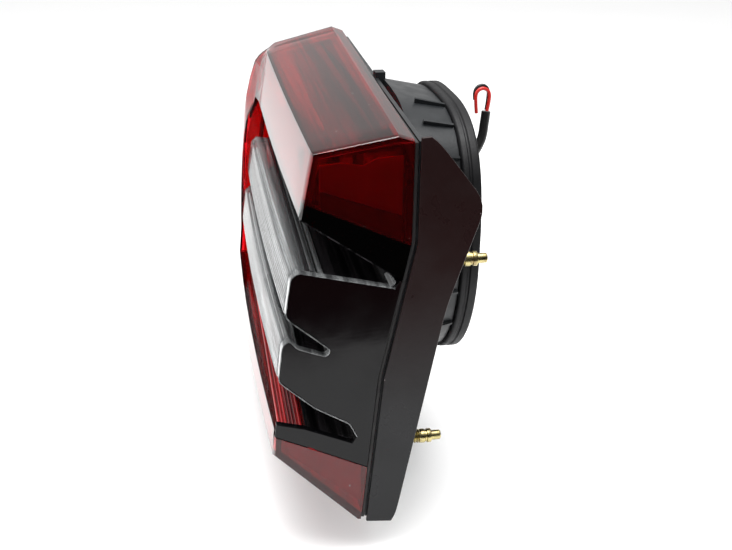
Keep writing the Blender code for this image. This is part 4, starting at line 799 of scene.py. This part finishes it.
def make_stud(node):
    """A threaded stud with a plain collar and a narrower tip."""
    low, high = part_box(node)
    x = (low[0] + high[0]) / 2
    z = (low[2] + high[2]) / 2
    radius = (high[0] - low[0]) / 2
    pitch = 1.0 * MM
    sides = 40
    root_end = high[1] - 8.4 * MM
    rows = int((root_end - low[1]) / pitch * 8)
    rings = []
    for row in range(rows + 1):
        y = low[1] + (root_end - low[1]) * row / rows
        fade = min(1, row / 8, (rows - row) / 8)
        ring = []
        for i in range(sides):
            angle = math.tau * i / sides
            phase = ((y - low[1]) / pitch + i / sides) % 1
            cutting = abs(phase * 2 - 1) * 0.55 * MM * fade
            r = radius - cutting
            ring.append((x + r * math.cos(angle), y, z + r * math.sin(angle)))
        rings.append(ring)
    tail = [
        (1.0, -8.2), (1.0, -6.9), (0.86, -6.6), (0.86, -6.0), (1.0, -5.7), (1.0, -4.3), (0.96, -4.1),
        (0.70, -3.9), (0.69, -0.6), (0.66, -0.3), (0.56, 0.0),
    ]
    for share, back in tail:
        ring = [math.tau * i / sides for i in range(sides)]
        rings.append([
            (x + radius * share * math.cos(a), high[1] + back * MM, z + radius * share * math.sin(a))
            for a in ring
        ])
    add_piece(node + "_threaded", loft_rings(rings), "yellow_zinc", "lamp", node, 40)


# Pigtail ------------------------------------------------------------------------------------

SLEEVE_ROUTE = (
    (0.0230, -0.0040, 0.0270),
    (0.0230, 0.0025, 0.0272),
    (0.0225, 0.0090, 0.0300),
    (0.0215, 0.0130, 0.0365),
    (0.0206, 0.0143, 0.0440),
    (0.0203, 0.0148, 0.0488),
)
RED_ROUTE = (
    (0.0211, 0.0150, 0.0492),
    (0.0212, 0.0155, 0.0528),
    (0.0213, 0.0156, 0.0560),
    (0.0213, 0.0147, 0.0581),
    (0.0213, 0.0126, 0.0590),
    (0.0213, 0.0105, 0.0581),
    (0.0213, 0.0096, 0.0560),
    (0.0212, 0.0098, 0.0523),
    (0.0211, 0.0103, 0.0483),
)
BLACK_ROUTE = (
    (0.0194, 0.0150, 0.0492),
    (0.0193, 0.0155, 0.0533),
    (0.0192, 0.0156, 0.0569),
    (0.0192, 0.0147, 0.0590),
    (0.0192, 0.0126, 0.0599),
    (0.0192, 0.0105, 0.0590),
    (0.0192, 0.0096, 0.0569),
    (0.0193, 0.0097, 0.0538),
)


def smooth_route(route, spacing):
    """Points along a Catmull-Rom curve through the route's own points."""
    points = [Vector(p) for p in route]
    padded = [points[0] * 2 - points[1]] + points + [points[-1] * 2 - points[-2]]
    made = [points[0]]
    for a, b, c, d in zip(padded, padded[1:], padded[2:], padded[3:]):
        count = max(1, round((c - b).length / spacing))
        for step in range(1, count + 1):
            t = step / count
            curve = b * 2 + (c - a) * t + (a * 2 - b * 5 + c * 4 - d) * t ** 2
            curve += (b * 3 - a - c * 3 + d) * t ** 3
            made.append(curve / 2)
    return made


def make_cord(name, route, diameter, look):
    """One cord of the pigtail, as a round curve along its route."""
    curve = bpy.data.curves.new(name, "CURVE")
    curve.dimensions = "3D"
    curve.bevel_depth = diameter / 2
    curve.bevel_resolution = 6
    curve.use_fill_caps = True
    points = smooth_route(route, 0.5 * MM)
    spline = curve.splines.new("POLY")
    spline.points.add(len(points) - 1)
    for point, place in zip(spline.points, points):
        point.co = (*place, 1)
    spline.use_smooth = True
    curve.materials.append(looks[look])
    cord = bpy.data.objects.new(name + "_cord", curve)
    bpy.context.scene.collection.objects.link(cord)
    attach(cord, "lamp")
    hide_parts(name)


# Stage --------------------------------------------------------------------------------------

def set_camera():
    """A close view of the open end, from a little in front and above."""
    camera_data = bpy.data.cameras.new("camera")
    camera_data.sensor_width = 36
    camera_data.lens = 49.24
    camera_data.clip_start = 0.01
    camera = bpy.data.objects.new("camera", camera_data)
    right = Vector((0.16727, 0.98580, 0.01466))
    up = Vector((-0.39212, 0.05288, 0.91839))
    back = Vector((0.90458, -0.15937, 0.39540))
    turn = Matrix((right, up, back)).transposed().to_4x4()
    camera.matrix_world = Matrix.Translation((0.43233, -0.10948, 0.15450)) @ turn
    bpy.context.scene.collection.objects.link(camera)
    bpy.context.scene.camera = camera


def make_floor():
    """A round pale floor."""
    mesh_data = bmesh.new()
    bmesh.ops.create_circle(mesh_data, cap_ends=True, segments=128, radius=3.0)
    mesh = bpy.data.meshes.new("floor")
    mesh_data.to_mesh(mesh)
    mesh_data.free()
    floor = bpy.data.objects.new("floor", mesh)
    floor.location = (-2.71, 0, -0.112)
    bpy.context.scene.collection.objects.link(floor)
    look = Look("floor", Roughness=0.8)
    look.colour(look.blend(look.noise((9, 9, 9)), (0.93, 0.93, 0.93), (0.95, 0.95, 0.95)))
    mesh.materials.append(look.material)


def make_world():
    """Plain white to the camera; for reflections, bright above and behind, dark ahead."""
    world = bpy.data.worlds.new("studio")
    world.use_nodes = True
    tree = world.node_tree
    background = tree.nodes["Background"]
    background.inputs["Color"].default_value = (1, 1, 1, 1)
    direction = tree.nodes.new("ShaderNodeTexCoord").outputs["Generated"]
    split = tree.nodes.new("ShaderNodeSeparateXYZ")
    tree.links.new(direction, split.inputs["Vector"])

    def maths(operation, first, second):
        node = tree.nodes.new("ShaderNodeMath")
        node.operation = operation
        for socket, value in ((node.inputs[0], first), (node.inputs[1], second)):
            if isinstance(value, (int, float)):
                socket.default_value = value
            else:
                tree.links.new(value, socket)
        return node.outputs[0]

    overhead = map_range(tree, split.outputs["Z"], 0.5, 0.95, 0.0, 1.1)
    behind = map_range(tree, split.outputs["X"], 0.3, -0.9, 0.02, 0.62)
    left = map_range(tree, split.outputs["Y"], -0.2, -0.9, 0.0, 0.20)
    around = maths("MAXIMUM", maths("MAXIMUM", overhead, behind), left)
    path = tree.nodes.new("ShaderNodeLightPath")
    seen = maths("MULTIPLY", path.outputs["Is Camera Ray"], 1.05)
    soft = maths("MULTIPLY", path.outputs["Is Diffuse Ray"], 0.95)
    shade = maths("MAXIMUM", around, maths("MAXIMUM", seen, soft))
    tree.links.new(shade, background.inputs["Strength"])
    bpy.context.scene.world = world


def make_light(name, place, target, size, power):
    light_data = bpy.data.lights.new(name, "AREA")
    light_data.shape = "RECTANGLE"
    light_data.size, light_data.size_y = size
    light_data.energy = power
    light = bpy.data.objects.new(name, light_data)
    light.location = place
    light.rotation_euler = (Vector(target) - Vector(place)).to_track_quat("-Z", "Y").to_euler()
    bpy.context.scene.collection.objects.link(light)


set_camera()
looks = make_looks()
make_cord("wire_sleeve", SLEEVE_ROUTE, SLEEVE_DIAMETER, "sleeve_vinyl")
make_cord("wire_red", RED_ROUTE, WIRE_DIAMETER, "red_vinyl")
make_cord("wire_black", BLACK_ROUTE, WIRE_DIAMETER, "sleeve_vinyl")

refine("outer_lens", 0.9 * MM, 4, round_far_corner)
refine("end_cover", 0.5 * MM)
refine("inner_bezel", 0.3 * MM, 2)
refine("reflex_insert", 0.25 * MM, 2)
make_bar("clear_bar_upper", BAR_1_TOP, BAR_1_FOOT, BAR_1_TOP - 1 * MM, BAR_1_FOOT - 2 * MM)
make_bar("clear_bar_lower", BAR_2_TOP, BAR_2_FOOT, BAR_2_TOP - 4 * MM, BAR_2_FOOT - 3.9 * MM)
make_ledge()
make_pocket()
make_red_strip()
make_rim()
make_liners()
refine("lens_seal", 0.3 * MM, 2)
refine("upper_reflector", 0.3 * MM, 2)
refine("lower_reflector", 0.3 * MM, 2)
refine("rear_housing", 0.5 * MM, 2)
refine("end_skirt", 0.4 * MM, 3)
make_gasket()
make_chamber_ribs()
for number in range(1, 5):
    refine(f"reflector_screw_{number}", 0.2 * MM, 2)
    make_stud(f"mounting_stud_{number}")
refine("wire_grommet", 0.3 * MM, 2)
refine("breather", 0.3 * MM, 2)
for kind in ("stop", "turn"):
    refine(f"bulb_holder_{kind}", 0.4 * MM, 2)
    refine(f"holder_seal_{kind}", 0.3 * MM, 2)
    refine(f"bulb_{kind}", 0.2 * MM, 2)
    refine(f"contact_{kind}_live", 0.12 * MM, 2)
    refine(f"contact_{kind}_earth", 0.12 * MM, 2)

make_floor()
make_world()
make_light("softbox_top", (0.05, -0.05, 0.75), (0, 0, 0), (0.7, 0.7), 11)
make_light("softbox_left", (0.1, -0.8, 0.35), (0, 0, 0), (0.5, 0.7), 2.5)
bpy.context.scene.view_settings.view_transform = "Standard"
